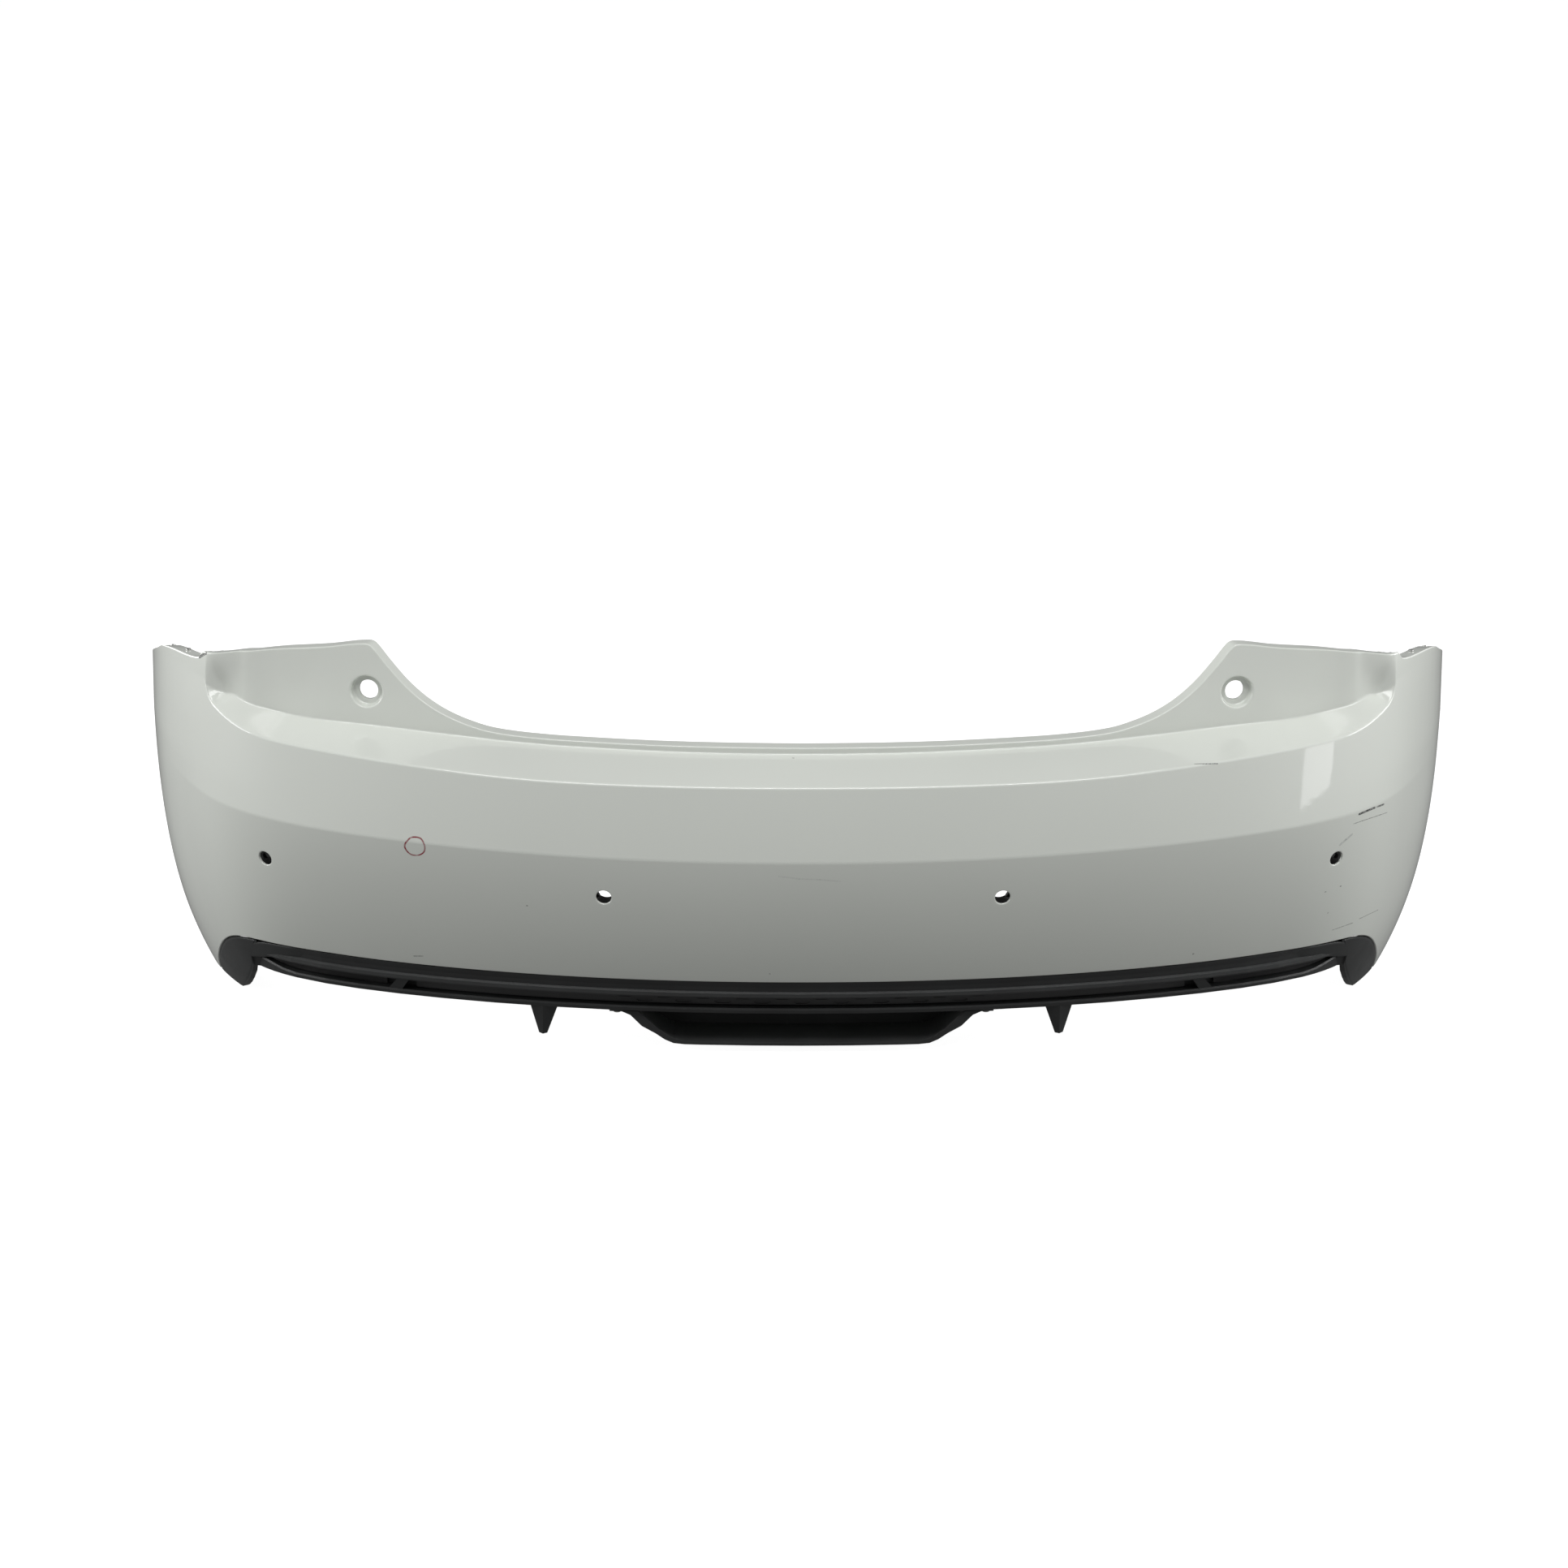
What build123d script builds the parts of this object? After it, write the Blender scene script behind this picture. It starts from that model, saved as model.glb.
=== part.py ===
from build123d import *
import os
import math
import numpy as np

os.makedirs("parts", exist_ok=True)

# ---------------------------------------------------------------------------
# Rear bumper cover of a small hatchback, in millimetres.
# +X to the right (seen from behind the car), +Y forward into the car, +Z up.
# Origin: the centre fixing hole in the top flange, on the car's centre plane.
#
# Bumper coordinates (s, u, z): s is the arc length along the middle character
# line, measured from the centre plane, u is the inset from that line towards
# the car, square to it, and z is the height over the line's centre.
# ---------------------------------------------------------------------------
WALL = 3.0              # wall of the moulded skin
END_S = 1125.0          # arc length from the centre plane to the wheel arch
ORG_Y = 112.0           # centre fixing, behind the middle character line
ORG_Z = 112.45          # centre fixing, above the middle character line

BORDER_Z = -175.0       # lower edge of the painted skin over the diffuser
SIDE_BOTTOM_Z = -279.0  # lower edge of the painted skin beside the diffuser
ARCH_Y, ARCH_Z, ARCH_R = 712.0, -150.0, 345.0   # wheel arch opening

SENSOR_HOLE_R = 9.5     # parking sensor holes
SENSOR_INNER = (247.0, -53.7)   # s, z of the inner pair
SENSOR_OUTER = (696.8, -45.3)   # s, z of the outer pair
BUFFER_HOLE_R = 12.5    # tailgate buffer holes in the shoulders
BUFFER_CUP_R = 19.5
BUFFER_CUP_D = 10.0
BUFFER_SZ = (580.5, 164.0)

PLAN_S = [0, 150, 300, 450, 560, 640, 700, 750, 790, 830, 880, 950, 1062, 1130.]
PLAN_A = [0, 3.67, 7.96, 12.49, 16.84, 22.85, 31.08, 41.32, 50.84, 57.9, 62.2, 67.3, 81.5, 86.0]


def natural_spline(xk, yk, x):
    xk = np.asarray(xk, float)
    yk = np.asarray(yk, float)
    n = len(xk)
    h = np.diff(xk)
    a = np.zeros((n, n))
    b = np.zeros(n)
    a[0, 0] = a[-1, -1] = 1
    for i in range(1, n - 1):
        a[i, i - 1], a[i, i], a[i, i + 1] = h[i - 1], 2 * (h[i - 1] + h[i]), h[i]
        b[i] = 6 * ((yk[i + 1] - yk[i]) / h[i] - (yk[i] - yk[i - 1]) / h[i - 1])
    m = np.linalg.solve(a, b)
    x = np.asarray(x, float)
    i = np.clip(np.searchsorted(xk, x) - 1, 0, n - 2)
    t = x - xk[i]
    hh = h[i]
    return (yk[i] + t * ((yk[i + 1] - yk[i]) / hh - hh * (2 * m[i] + m[i + 1]) / 6)
            + t * t * m[i] / 2 + t ** 3 * (m[i + 1] - m[i]) / (6 * hh))


SG = np.linspace(0, 1130, 2261)
AG = np.radians(natural_spline(PLAN_S, PLAN_A, SG))
XG = np.r_[0, np.cumsum((np.cos(AG[1:]) + np.cos(AG[:-1])) / 2 * np.diff(SG))]
YG = np.r_[0, np.cumsum((np.sin(AG[1:]) + np.sin(AG[:-1])) / 2 * np.diff(SG))]


def pt(s, u, z):
    """Bumper coordinates to the part's frame."""
    a = abs(s)
    x = np.interp(a, SG, XG)
    y = np.interp(a, SG, YG)
    p = np.interp(a, SG, AG)
    sg = 1.0 if s >= 0 else -1.0
    return (float(sg * (x - u * np.sin(p))), float(y + u * np.cos(p) - ORG_Y), float(z - ORG_Z))


def smooth(a, b, x):
    t = min(1.0, max(0.0, (x - a) / (b - a)))
    return t * t * (3 - 2 * t)


def z_mid(s):
    """Height of the middle character line."""
    x = float(np.interp(abs(s), SG, XG))
    return 15 * (x / 700) ** 2 if x < 700 else 15 + (x - 700) * 0.05 + 0.0002 * (x - 700) ** 2


Z1_S = [0, 100, 190, 290, 392, 444, 496, 550, 605, 663, 687, 715, 741, 760, 776, 790, 798, 804, 808, 1130]
Z1_Z = [92, 92, 92.3, 93, 96, 99, 102, 105.3, 108.8, 112.2, 114.1, 118.1, 123.9, 129.9, 135.9, 142.5, 150, 159, 167, 176]


def z_step(s):
    """Height of the step's front edge."""
    return float(np.interp(abs(s), Z1_S, Z1_Z))


def u_skin(s, h):
    """Inset of the outer skin at height h over the middle line."""
    w = smooth(600, 960, abs(s))
    uc = 0.14 * h + 0.0002 * h * h if h > 0 else 0.12 * (-h) + 0.00054 * h * h
    d = max(35 - h, 0)
    us = 3.0e-5 * d * d + 1.27e-6 * d ** 3 - 0.10 + 0.035 * max(h - 35, 0)
    return (1 - w) * uc + w * us


def skin(s, z):
    return u_skin(s, z - z_mid(s))


U0_S = [0, 150, 300, 420, 470, 527, 583, 640, 705, 728, 755, 774, 788, 796, 806]
U0_U = [98, 100, 104, 102.5, 100, 97, 90, 79, 66, 57.5, 44, 38.5, 34, 31, 27]


def step_front(s):
    z = z_step(s)
    return skin(s, z), z


def step_back(s):
    a = abs(s)
    u1, z1 = step_front(s)
    u0 = float(np.interp(a, U0_S, U0_U))
    if a > 806:
        u0 = u1 + 1.0 + 17.0 * (1 - smooth(806, 842, a))
    rise = 12 * (1 - smooth(770, 806, a)) + 1.5
    return max(u0, u1 + 1.0), z1 + rise


def u_wall(s, z):
    """Inset of the upstanding wall behind the step."""
    u0, z0 = step_back(s)
    return u0 + 0.05 * (z - z0)


TOP_Z = 245.0
LOW_Z = -300.0


def outer_line(s, low=LOW_Z, top=TOP_Z):
    """Outer skin's section, bottom to top, as (u, z) points."""
    zm = z_mid(s)
    pts = [(skin(s, z), z) for z in np.linspace(low, zm, 7)]
    u1, z1 = step_front(s)
    pts += [(skin(s, z), z) for z in np.linspace(zm, z1, 4)[1:]]
    u0, z0 = step_back(s)
    pts += [(u0, z0), (u_wall(s, top), top)]
    return pts


def offset_line(pts, t):
    """The same line moved square to itself by t, away from the outside."""
    q = np.array(pts, float)
    d = np.diff(q, axis=0)
    d /= np.linalg.norm(d, axis=1)[:, None]
    nrm = np.c_[d[:, 1], -d[:, 0]]        # towards +u for a line that rises
    out = []
    for i in range(len(q)):
        if i == 0:
            m, k = nrm[0], 1.0
        elif i == len(q) - 1:
            m, k = nrm[-1], 1.0
        else:
            m = nrm[i - 1] + nrm[i]
            m = m / np.linalg.norm(m)
            k = 1 / max(0.35, float(m @ nrm[i]))
        out.append(tuple(q[i] + m * t * k))
    return out


def section(s, uz):
    return Wire.make_polygon([Vector(*pt(s, u, z)) for u, z in uz], close=True)


def band(stations, fn, ruled=False):
    """A solid lofted along the bumper through the closed (u, z) sections fn(s)."""
    return Solid.make_loft([section(s, fn(s)) for s in stations], ruled)


def both(a):
    a = sorted(a)
    return [-v for v in reversed(a) if v > 0] + a


STATIONS = both([0, 75, 150, 225, 300, 370, 430, 480, 530, 575, 615, 650, 680, 708, 732, 752,
                 768, 782, 793, 801, 807, 815, 824, 833, 843, 860, 885, 915, 950, 990, 1030, 1075, END_S])


# ---------------------------------------------------------------------------
# Outlines that trim the skin. BORDER_XZ, TOP_XZ: front view, right half.
# SEAM_YZ: side view of the joint with the quarter panel.
# ---------------------------------------------------------------------------
BORDER_XZ = [(0, -175), (640, -175), (690, -175.6), (712, -177.3), (728, -181.5), (740, -189),
             (750, -200), (759, -216), (767, -238), (772, -262), (773, -282), (773, -330)]
TOP_XZ = [(0, 114), (190, 114.1), (291, 114.8), (342, 116.6), (372, 118.8), (393, 121.6), (418, 128.3),
          (444, 138.4), (469, 152.6), (494, 172.9), (519, 201), (534, 220), (538, 224), (543, 225.6),
          (595, 219.4), (647, 213.6), (699, 207.8), (741, 203)]
SEAM_YZ = [(-50, 203), (212, 203), (219, 193.5), (228, 190.5), (259, 186.7), (280, 184.4), (311, 178.9),
           (361, 159.8), (420, 139), (485, 116.5), (560, 90)]
SEAM_X = 741.0
ENDCAP_XZ = [(703, -203), (711, -208), (716.5, -216), (720.5, -230), (724, -246), (728, -262), (734, -279)]
FLANGE_T = 2.5
FLANGE_W = 20.0


def frame_pts(pts, plane):
    """Outline points in the part's frame for a sketch plane."""
    if plane == "XZ":
        return [(x, z - ORG_Z) for x, z in pts]
    return [(y - ORG_Y, z - ORG_Z) for y, z in pts]


def prism_xz(pts, y0=-300.0, y1=700.0):
    """Closed front-view outline, driven along Y."""
    w = Wire.make_polygon([Vector(x, y0 - ORG_Y, z - ORG_Z) for x, z in pts], close=True)
    return Solid.extrude(Face(w), Vector(0, y1 - y0, 0))


def prism_yz(pts, x0, x1):
    w = Wire.make_polygon([Vector(x0, y - ORG_Y, z - ORG_Z) for y, z in pts], close=True)
    return Solid.extrude(Face(w), Vector(x1 - x0, 0, 0))


def box_at(x0, x1, y0, y1, z0, z1):
    """A box from working heights and depths."""
    return Pos((x0 + x1) / 2, (y0 + y1) / 2 - ORG_Y, (z0 + z1) / 2 - ORG_Z) * Solid.make_box(
        x1 - x0, y1 - y0, z1 - z0).moved(Location((-(x1 - x0) / 2, -(y1 - y0) / 2, -(z1 - z0) / 2)))


def outline_offset(pts, t):
    """Offset an open outline square to itself."""
    q = np.array(pts, float)
    d = np.diff(q, axis=0)
    d /= np.linalg.norm(d, axis=1)[:, None]
    n = np.c_[-d[:, 1], d[:, 0]]
    out = []
    for i in range(len(q)):
        if i == 0:
            m, k = n[0], 1
        elif i == len(q) - 1:
            m, k = n[-1], 1
        else:
            m = n[i - 1] + n[i]
            m = m / np.linalg.norm(m)
            k = 1 / max(0.5, float(m @ n[i]))
        out.append(tuple(q[i] + m * t * k))
    return out


def mirror_outline(pts):
    return [(-x, z) for x, z in reversed(pts) if x > 0] + list(pts)


def frame_at(s, z, u=None):
    """Outward normal and point on the skin, for holes and holders."""
    e = 0.5
    f = (lambda ss, zz: pt(ss, skin(ss, zz), zz)) if u is None else (lambda ss, zz: pt(ss, u(ss, zz), zz))
    p = np.array(f(s, z))
    a = np.array(f(s + e, z)) - np.array(f(s - e, z))
    b = np.array(f(s, z + e)) - np.array(f(s, z - e))
    n = np.cross(a, b)
    n = n / np.linalg.norm(n)
    if n[1] > 0:
        n = -n
    a = a / np.linalg.norm(a)
    return p, n, a


def cylinder(p, n, r, h0, h1):
    """Cylinder about the line p + t n, from t=h0 to t=h1."""
    p = np.array(p, float)
    n = np.array(n, float)
    q = p + n * h0
    return Solid.make_cylinder(r, h1 - h0, Plane(origin=tuple(q), z_dir=tuple(n)))


def sols(shape):
    """Every solid of a shape or list of shapes."""
    if shape is None:
        return []
    if isinstance(shape, Solid):
        return [shape]
    if isinstance(shape, (list, tuple)):
        return [b for a in shape for b in sols(a)]
    return list(shape.solids())


def common(a, b):
    return [c for x in sols(a) for y in sols(b) for c in sols(x.intersect(y)) if c.volume > 1]


def minus(a, *tools):
    t = [y for x in tools for y in sols(x)]
    return [c for x in sols(a) for c in sols(x.cut(*t)) if c.volume > 1]


def biggest(shape):
    return max(sols(shape), key=lambda a: a.volume)


def write(name, shape):
    sols = [shape] if isinstance(shape, Solid) else list(shape.solids())
    out = sols[0] if len(sols) == 1 else Compound(children=sols)
    ok = all(a.is_valid for a in sols)
    print(f"{name:26s} solids {len(sols):2d} valid {ok} volume {sum(a.volume for a in sols) / 1000:9.2f} cm3", flush=True)
    export_step(out, f"parts/{name}.step")


# ---------------------------------------------------------------------------
# Bumper cover
# ---------------------------------------------------------------------------
def shell_section(s):
    o = outer_line(s)
    return o + offset_line(o, WALL)[::-1]


def thick_section(s, w=FLANGE_W - 1.5, low=LOW_Z, start=1.5):
    o = offset_line(outer_line(s, low), start)
    return o + [(u + w, z) for u, z in reversed(o)]


border_full = mirror_outline(BORDER_XZ)
top_full = mirror_outline(TOP_XZ)
cut_below = prism_xz([(-773, -400)] + border_full + [(773, -400)])
cut_top = prism_xz(top_full + [(741, 400), (-741, 400)])
cut_seam_r = prism_yz(SEAM_YZ + [(560, 400), (-50, 400)], SEAM_X, 950)
cut_seam_l = prism_yz(SEAM_YZ + [(560, 400), (-50, 400)], -950, -SEAM_X)
arch = Solid.make_cylinder(ARCH_R, 2000, Plane(origin=(-1000, ARCH_Y - ORG_Y, ARCH_Z - ORG_Z), z_dir=(1, 0, 0)))
arch_band = Solid.make_cylinder(ARCH_R + 0.3 + FLANGE_T, 2000,
                                Plane(origin=(-1000, ARCH_Y - ORG_Y, ARCH_Z - ORG_Z), z_dir=(1, 0, 0)))
arch_space = box_at(-950, -500, 100, 900, -400, 300).fuse(box_at(500, 950, 100, 900, -400, 300))
arch_in = Solid.make_cylinder(ARCH_R + 0.3, 2000, Plane(origin=(-1000, ARCH_Y - ORG_Y, ARCH_Z - ORG_Z), z_dir=(1, 0, 0)))
arch_cut = common(arch, arch_space)
arch_clear = common(Solid.make_cylinder(ARCH_R + 1.3 + FLANGE_T, 2000, Plane(
    origin=(-1000, ARCH_Y - ORG_Y, ARCH_Z - ORG_Z), z_dir=(1, 0, 0))), arch_space)
cut_bottom = box_at(-950, 950, -200, 800, -420, SIDE_BOTTOM_Z)

skin_loft = band(STATIONS, shell_section, True)
thick_loft = band(STATIONS, thick_section, True)

cover = minus(skin_loft, cut_below, cut_top, cut_seam_r, cut_seam_l, cut_bottom, arch_cut)
print("cover trimmed", len(cover), [round(a.volume) for a in cover], flush=True)
cover = biggest(cover)

# return flanges, each the part of a thicker skin that lies in a thin layer
LAY = 0.3               # flanges sit just inside the trimmed edges
low_layer = prism_xz(outline_offset(border_full, LAY) + outline_offset(border_full, LAY + FLANGE_T)[::-1])
top_layer = prism_xz(outline_offset(top_full, -LAY) + outline_offset(top_full, -LAY - FLANGE_T)[::-1])
flanges = minus(common(thick_loft, low_layer), cut_bottom)
flanges += common(thick_loft, top_layer)
for side in (1, -1):
    sy = SEAM_YZ[1:]
    layer = prism_yz(outline_offset(sy, -LAY) + outline_offset(sy, -LAY - FLANGE_T)[::-1],
                     *sorted((side * (SEAM_X + 1.5), side * 950)))
    flanges += minus(common(thick_loft, layer), arch_clear)
arch_layer = common(minus(arch_band, arch_in), arch_space)
flanges += minus(common(thick_loft, arch_layer), cut_seam_r, cut_seam_l, cut_bottom)
side_layer = [box_at(773.3, 950, 100, 800, SIDE_BOTTOM_Z + LAY, SIDE_BOTTOM_Z + LAY + FLANGE_T),
              box_at(-950, -773.3, 100, 800, SIDE_BOTTOM_Z + LAY, SIDE_BOTTOM_Z + LAY + FLANGE_T)]
flanges += minus(common(thick_loft, side_layer), arch_clear)
fl_solids = [f for f in flanges if f.volume > 50]
print("flanges", [round(f.volume) for f in fl_solids], flush=True)
for f in sorted(fl_solids, key=lambda f: f.volume):
    cover = biggest(cover.fuse(f))
print("cover with flanges", round(cover.volume), flush=True)

# tailgate buffer cups in the shoulders
for sg in (-1, 1):
    p, n, a = frame_at(sg * BUFFER_SZ[0], BUFFER_SZ[1], u_wall)
    cover = cover.cut(cylinder(p, n, BUFFER_CUP_R, -12, 12))
    cup = cylinder(p, n, BUFFER_CUP_R + WALL, -BUFFER_CUP_D - WALL, -1.0).cut(
        cylinder(p, n, BUFFER_CUP_R, -BUFFER_CUP_D, 5))
    cup = cup.cut(cylinder(p, n, BUFFER_HOLE_R, -40, 5))
    cover = cover.fuse(cup)
    cover = biggest(cover)

# parking sensor holes
SENSORS = {"outer_left": (-SENSOR_OUTER[0], SENSOR_OUTER[1]), "inner_left": (-SENSOR_INNER[0], SENSOR_INNER[1]),
           "inner_right": (SENSOR_INNER[0], SENSOR_INNER[1]), "outer_right": (SENSOR_OUTER[0], SENSOR_OUTER[1])}
for nm, (s, z) in SENSORS.items():
    p, n, a = frame_at(s, z)
    cover = cover.cut(cylinder(p, n, SENSOR_HOLE_R, -12, 12))

# holes in the flanges
TOP_SCREW_X = 220.0
SCREW_R = 3.25
_s = float(np.interp(TOP_SCREW_X, XG - 115 * np.sin(AG), SG))
TOP_EDGE_Y = pt(_s, u_wall(_s, 113) + FLANGE_W, 113)[1]
TOP_HOLE_Y = round(TOP_EDGE_Y - 8.5, 2)
cover = biggest(cover.cut(cylinder((0, 0, 0), (0, 0, 1), 3.5, -8, 8)))
for x in (-TOP_SCREW_X, TOP_SCREW_X):
    cover = biggest(cover.cut(cylinder((x, TOP_HOLE_Y, 0), (0, 0, 1), SCREW_R, -8, 8)))
_y = ARCH_Y - ARCH_R - 0.3 - FLANGE_T / 2 - ORG_Y
_s = min(np.linspace(900, 1100, 401), key=lambda s: abs(pt(s, skin(s, ARCH_Z) + 12, 0)[1] - _y))
ARCH_EDGE_X = pt(_s, skin(_s, ARCH_Z) + FLANGE_W, 0)[0]
ARCH_HOLE_X = round(ARCH_EDGE_X + 8.0, 2)
for sg in (-1, 1):
    cover = biggest(cover.cut(cylinder((sg * ARCH_HOLE_X, _y, ARCH_Z - ORG_Z), (0, 1, 0), SCREW_R, -8, 8)))
print("top holes", TOP_SCREW_X, TOP_HOLE_Y, "edge", TOP_EDGE_Y, "arch holes", ARCH_HOLE_X, _y, "edge", ARCH_EDGE_X, flush=True)

CLIP_S = [-640, -480, -320, -160, 0, 160, 320, 480, 640]
CLIP_U = 50.0
for s in CLIP_S:
    x, y, z = pt(s, CLIP_U, -175)
    cover = cover.cut(cylinder((x, y, z), (0, 0, 1), 3.0, -3, 6))
cover = biggest(cover)

print("cover", cover.is_valid, round(cover.volume), flush=True)
for nm, (s, z) in SENSORS.items():
    print("sensor", nm, [np.round(v, 4) for v in frame_at(s, z)[:2]])
for sg in (-1, 1):
    print("buffer", [np.round(v, 4) for v in frame_at(sg * BUFFER_SZ[0], BUFFER_SZ[1], u_wall)[:2]])

# ---------------------------------------------------------------------------
# Diffuser panel: band, lip, recess and slat in one folded sheet, with an end
# cap and fin at each end, two inner fins and two diagonal dividers
# ---------------------------------------------------------------------------
PANEL_T = 2.2
PANEL_S = 772.0
RECESS_U = 65.0


def slot_close(s):
    return smooth(690, PANEL_S, abs(s))


def slat_top(s):
    return -216.0 + 8.5 * slot_close(s)


def recess_back(s):
    return RECESS_U - 6 * slot_close(s)


def panel_line(s):
    k = slot_close(s)
    zs = slat_top(s)
    back = recess_back(s)
    return [(76 - 4 * k, -226), (54, -224.5), (51, -223), (50, zs - 2.5), (51, zs), (back, zs + 0.4),
            (back - 1, -201), (43, -199.5), (41, -197), (41.5, -192.5), (44.5, -190.5),
            (43.2, -184), (39.4, -175.7 - 2.2 * k), (58, -175.7 - 2.2 * k)]


def panel_section(s):
    o = panel_line(s)
    return o + offset_line(o, PANEL_T)[::-1]


PANEL_STATIONS = both([0, 80, 160, 240, 320, 400, 470, 530, 590, 640, 690, 715, 735, 755, PANEL_S])
panel = band(PANEL_STATIONS, panel_section, True)
print("panel", panel.is_valid, round(panel.volume), flush=True)


def low_skin(s, a, b):
    zs = np.linspace(-176, -300, 8)
    return [(skin(s, z) + a, z) for z in zs] + [(skin(s, z) + b, z) for z in zs[::-1]]


CAP_XZ = [(700, -177.5), (712, -179.5), (727, -183.5), (738.5, -190.5), (748.5, -201), (757.5, -217),
          (765.3, -238.5), (770.3, -262), (771.2, -279)]
CAP_ST = [745, 765, 785, 805, 830, 860, 890, 920, 950]
extra = []
for sg in (-1, 1):
    st = sorted(sg * c for c in CAP_ST)
    m = (lambda pts: [(sg * x, z) for x, z in pts])
    shell = band(st, lambda s: low_skin(s, 0.8, 3.8), True)
    deep = band(st, lambda s: low_skin(s, 1.8, 38.0), True)
    deep2 = band(st, lambda s: low_skin(s, 2.2, 24.0), True)
    region = prism_xz(m(CAP_XZ + ENDCAP_XZ[::-1] + [(700, -201)]))
    edge = [(700, -201.2)] + ENDCAP_XZ
    off = outline_offset(edge, 2.5)
    strip = prism_xz(m([(x + 0.3, z) for x, z in edge] + [(x + 0.3, z) for x, z in off[::-1]]))
    cap = biggest(common(shell, region))
    ret = [b for b in common(deep, strip) if b.volume > 200]
    foot = common(deep2, prism_xz(m([(735, -278.7), (771, -278.7), (771, -276.2), (735, -276.2)])))
    print("  cap", round(cap.volume), "return", [round(b.volume) for b in ret], "foot", [round(b.volume) for b in foot], flush=True)
    extra += [cap] + ret + foot


def plan_prism(low, high):
    """Solid between two closed rings of (s, u, z) points."""
    return Solid.make_loft([Wire.make_polygon([Vector(*pt(*p)) for p in low], close=True),
                            Wire.make_polygon([Vector(*pt(*p)) for p in high], close=True)], True)


for sg in (-1, 1):
    # inner fin: a wedge with a sharp leading edge
    top = [(sg * s, u, -222.6) for s, u in ((354, 56), (336, 50.6), (317, 56), (319, 74), (352, 74))]
    bot = [(sg * s, u, -266.0) for s, u in ((345, 65), (339, 61), (334, 65), (336, 74), (343, 74))]
    extra.append(plan_prism(bot, top))
    # diagonal divider between the outer slot and the honeycomb
    low = [(sg * s, u, -217.0) for s, u in ((527, 51.5), (546, 51.5), (546, 64.5), (527, 64.5))]
    up = [(sg * s, u, -199.4) for s, u in ((514, 45.0), (530, 45.0), (530, 64.5), (514, 64.5))]
    extra.append(plan_prism(low, up))

for e in extra:
    r = panel.fuse(e)
    rs = sols(r)
    if len(rs) > 1:
        print("   loose", [round(b.volume) for b in rs], flush=True)
    panel = max(rs, key=lambda b: b.volume)
TRAY_SCREWS = [(-241, 68), (241, 68)]
for s in CLIP_S:
    x, y, z = pt(s, CLIP_U, -176)
    panel = biggest(panel.cut(cylinder((x, y, z), (0, 0, 1), 3.0, -4, 4)))
for s, u in TRAY_SCREWS:
    x, y, z = pt(s, u, -225)
    panel = biggest(panel.cut(cylinder((x, y, z), (0, 0, 1), 2.3, -4, 5)))
RIVET_S = [893.0, 974.0]
for sg in (-1, 1):
    x, y, z = pt(sg * RIVET_S[0], skin(RIVET_S[0], -277) + 11.5, -277)
    panel = biggest(panel.cut(cylinder((x, y, z), (0, 0, 1), 2.6, -4, 4)))
    x, y, z = pt(sg * RIVET_S[1], skin(RIVET_S[1], -277) + 11.5, -277)
    cover = biggest(cover.cut(cylinder((x, y, z), (0, 0, 1), 2.6, -4, 4)))
# the notch flange is relieved where the corner brace and its rivet cross it
for sg in (-1, 1):
    cover = biggest(cover.cut(box_at(*sorted((sg * 771.0, sg * 776.4)), 338, 392, SIDE_BOTTOM_Z - 1, -271.6)))
write("diffuser_panel", panel)

# ---------------------------------------------------------------------------
# Honeycomb insert and the two slot blanks
# ---------------------------------------------------------------------------
HEX_PITCH = 51.0
GRILLE_S = both([0, 90, 180, 270, 360, 440, 509])
grille = band(GRILLE_S, lambda s: [(59.8, -214.6), (59.8, -202.2), (63.0, -202.2), (63.0, -214.6)])
for i in range(-9, 10):
    s = i * HEX_PITCH / 2
    zc = -205.2 if i % 2 else -210.8
    p = np.array(pt(s, 59.8, zc))
    a = np.interp(abs(s), SG, AG) * (1 if s >= 0 else -1)
    ex = np.array([math.cos(a), math.sin(a), 0])
    ey = np.array([-math.sin(a), math.cos(a), 0])
    ring = [p + ex * dx + np.array([0, 0, dz]) - ey * 3 for dx, dz in
            ((-11, 0), (-7, 2.4), (7, 2.4), (11, 0), (7, -2.4), (-7, -2.4))]
    cell = Solid.extrude(Face(Wire.make_polygon([Vector(*q) for q in ring], close=True)), Vector(*(ey * 4.6)))
    grille = biggest(grille.cut(cell))
write("honeycomb_grille", grille)

for nm, sg in (("left_slot_panel", -1), ("right_slot_panel", 1)):
    blank = band(sorted(sg * v for v in (551, 600, 650, 690, 715, 742)),
                 lambda s: [(recess_back(s) - 4.5, slat_top(s) + 1.6), (recess_back(s) - 4.5, -202.6),
                            (recess_back(s) - 2.2, -202.6), (recess_back(s) - 2.2, slat_top(s) + 1.6)])
    write(nm, blank)

# ---------------------------------------------------------------------------
# Centre tray under the slat: a rim, a U-shaped wall and a closing wall
# ---------------------------------------------------------------------------
TRAY_TOP = -226.7
TRAY_OUT = [(229, TRAY_TOP), (216, -232.2), (202, -246.5), (185, -255.8), (173, -264), (162, -268.8), (148, -270)]
TRAY_IN = [(206, TRAY_TOP), (194, -238), (182, -250), (165, -261.5), (150, -266.0), (140, -266.6)]
tray_out = [(-x, z) for x, z in TRAY_OUT] + TRAY_OUT[::-1]
tray_in = [(-x, z) for x, z in TRAY_IN] + TRAY_IN[::-1]
ring = biggest(prism_xz(tray_out, 30, 200).cut(prism_xz([(-205, -220)] + tray_in + [(205, -220)], 20, 210)))
wall_in = outline_offset(tray_out, 2.5)
wall = biggest(prism_xz(tray_out, 30, 200).cut(prism_xz([(wall_in[0][0] + 3, -220)] + wall_in + [(wall_in[-1][0] - 3, -220)], 20, 210)))
TRAY_ST = both([0, 65, 130, 195, 260])


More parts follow.
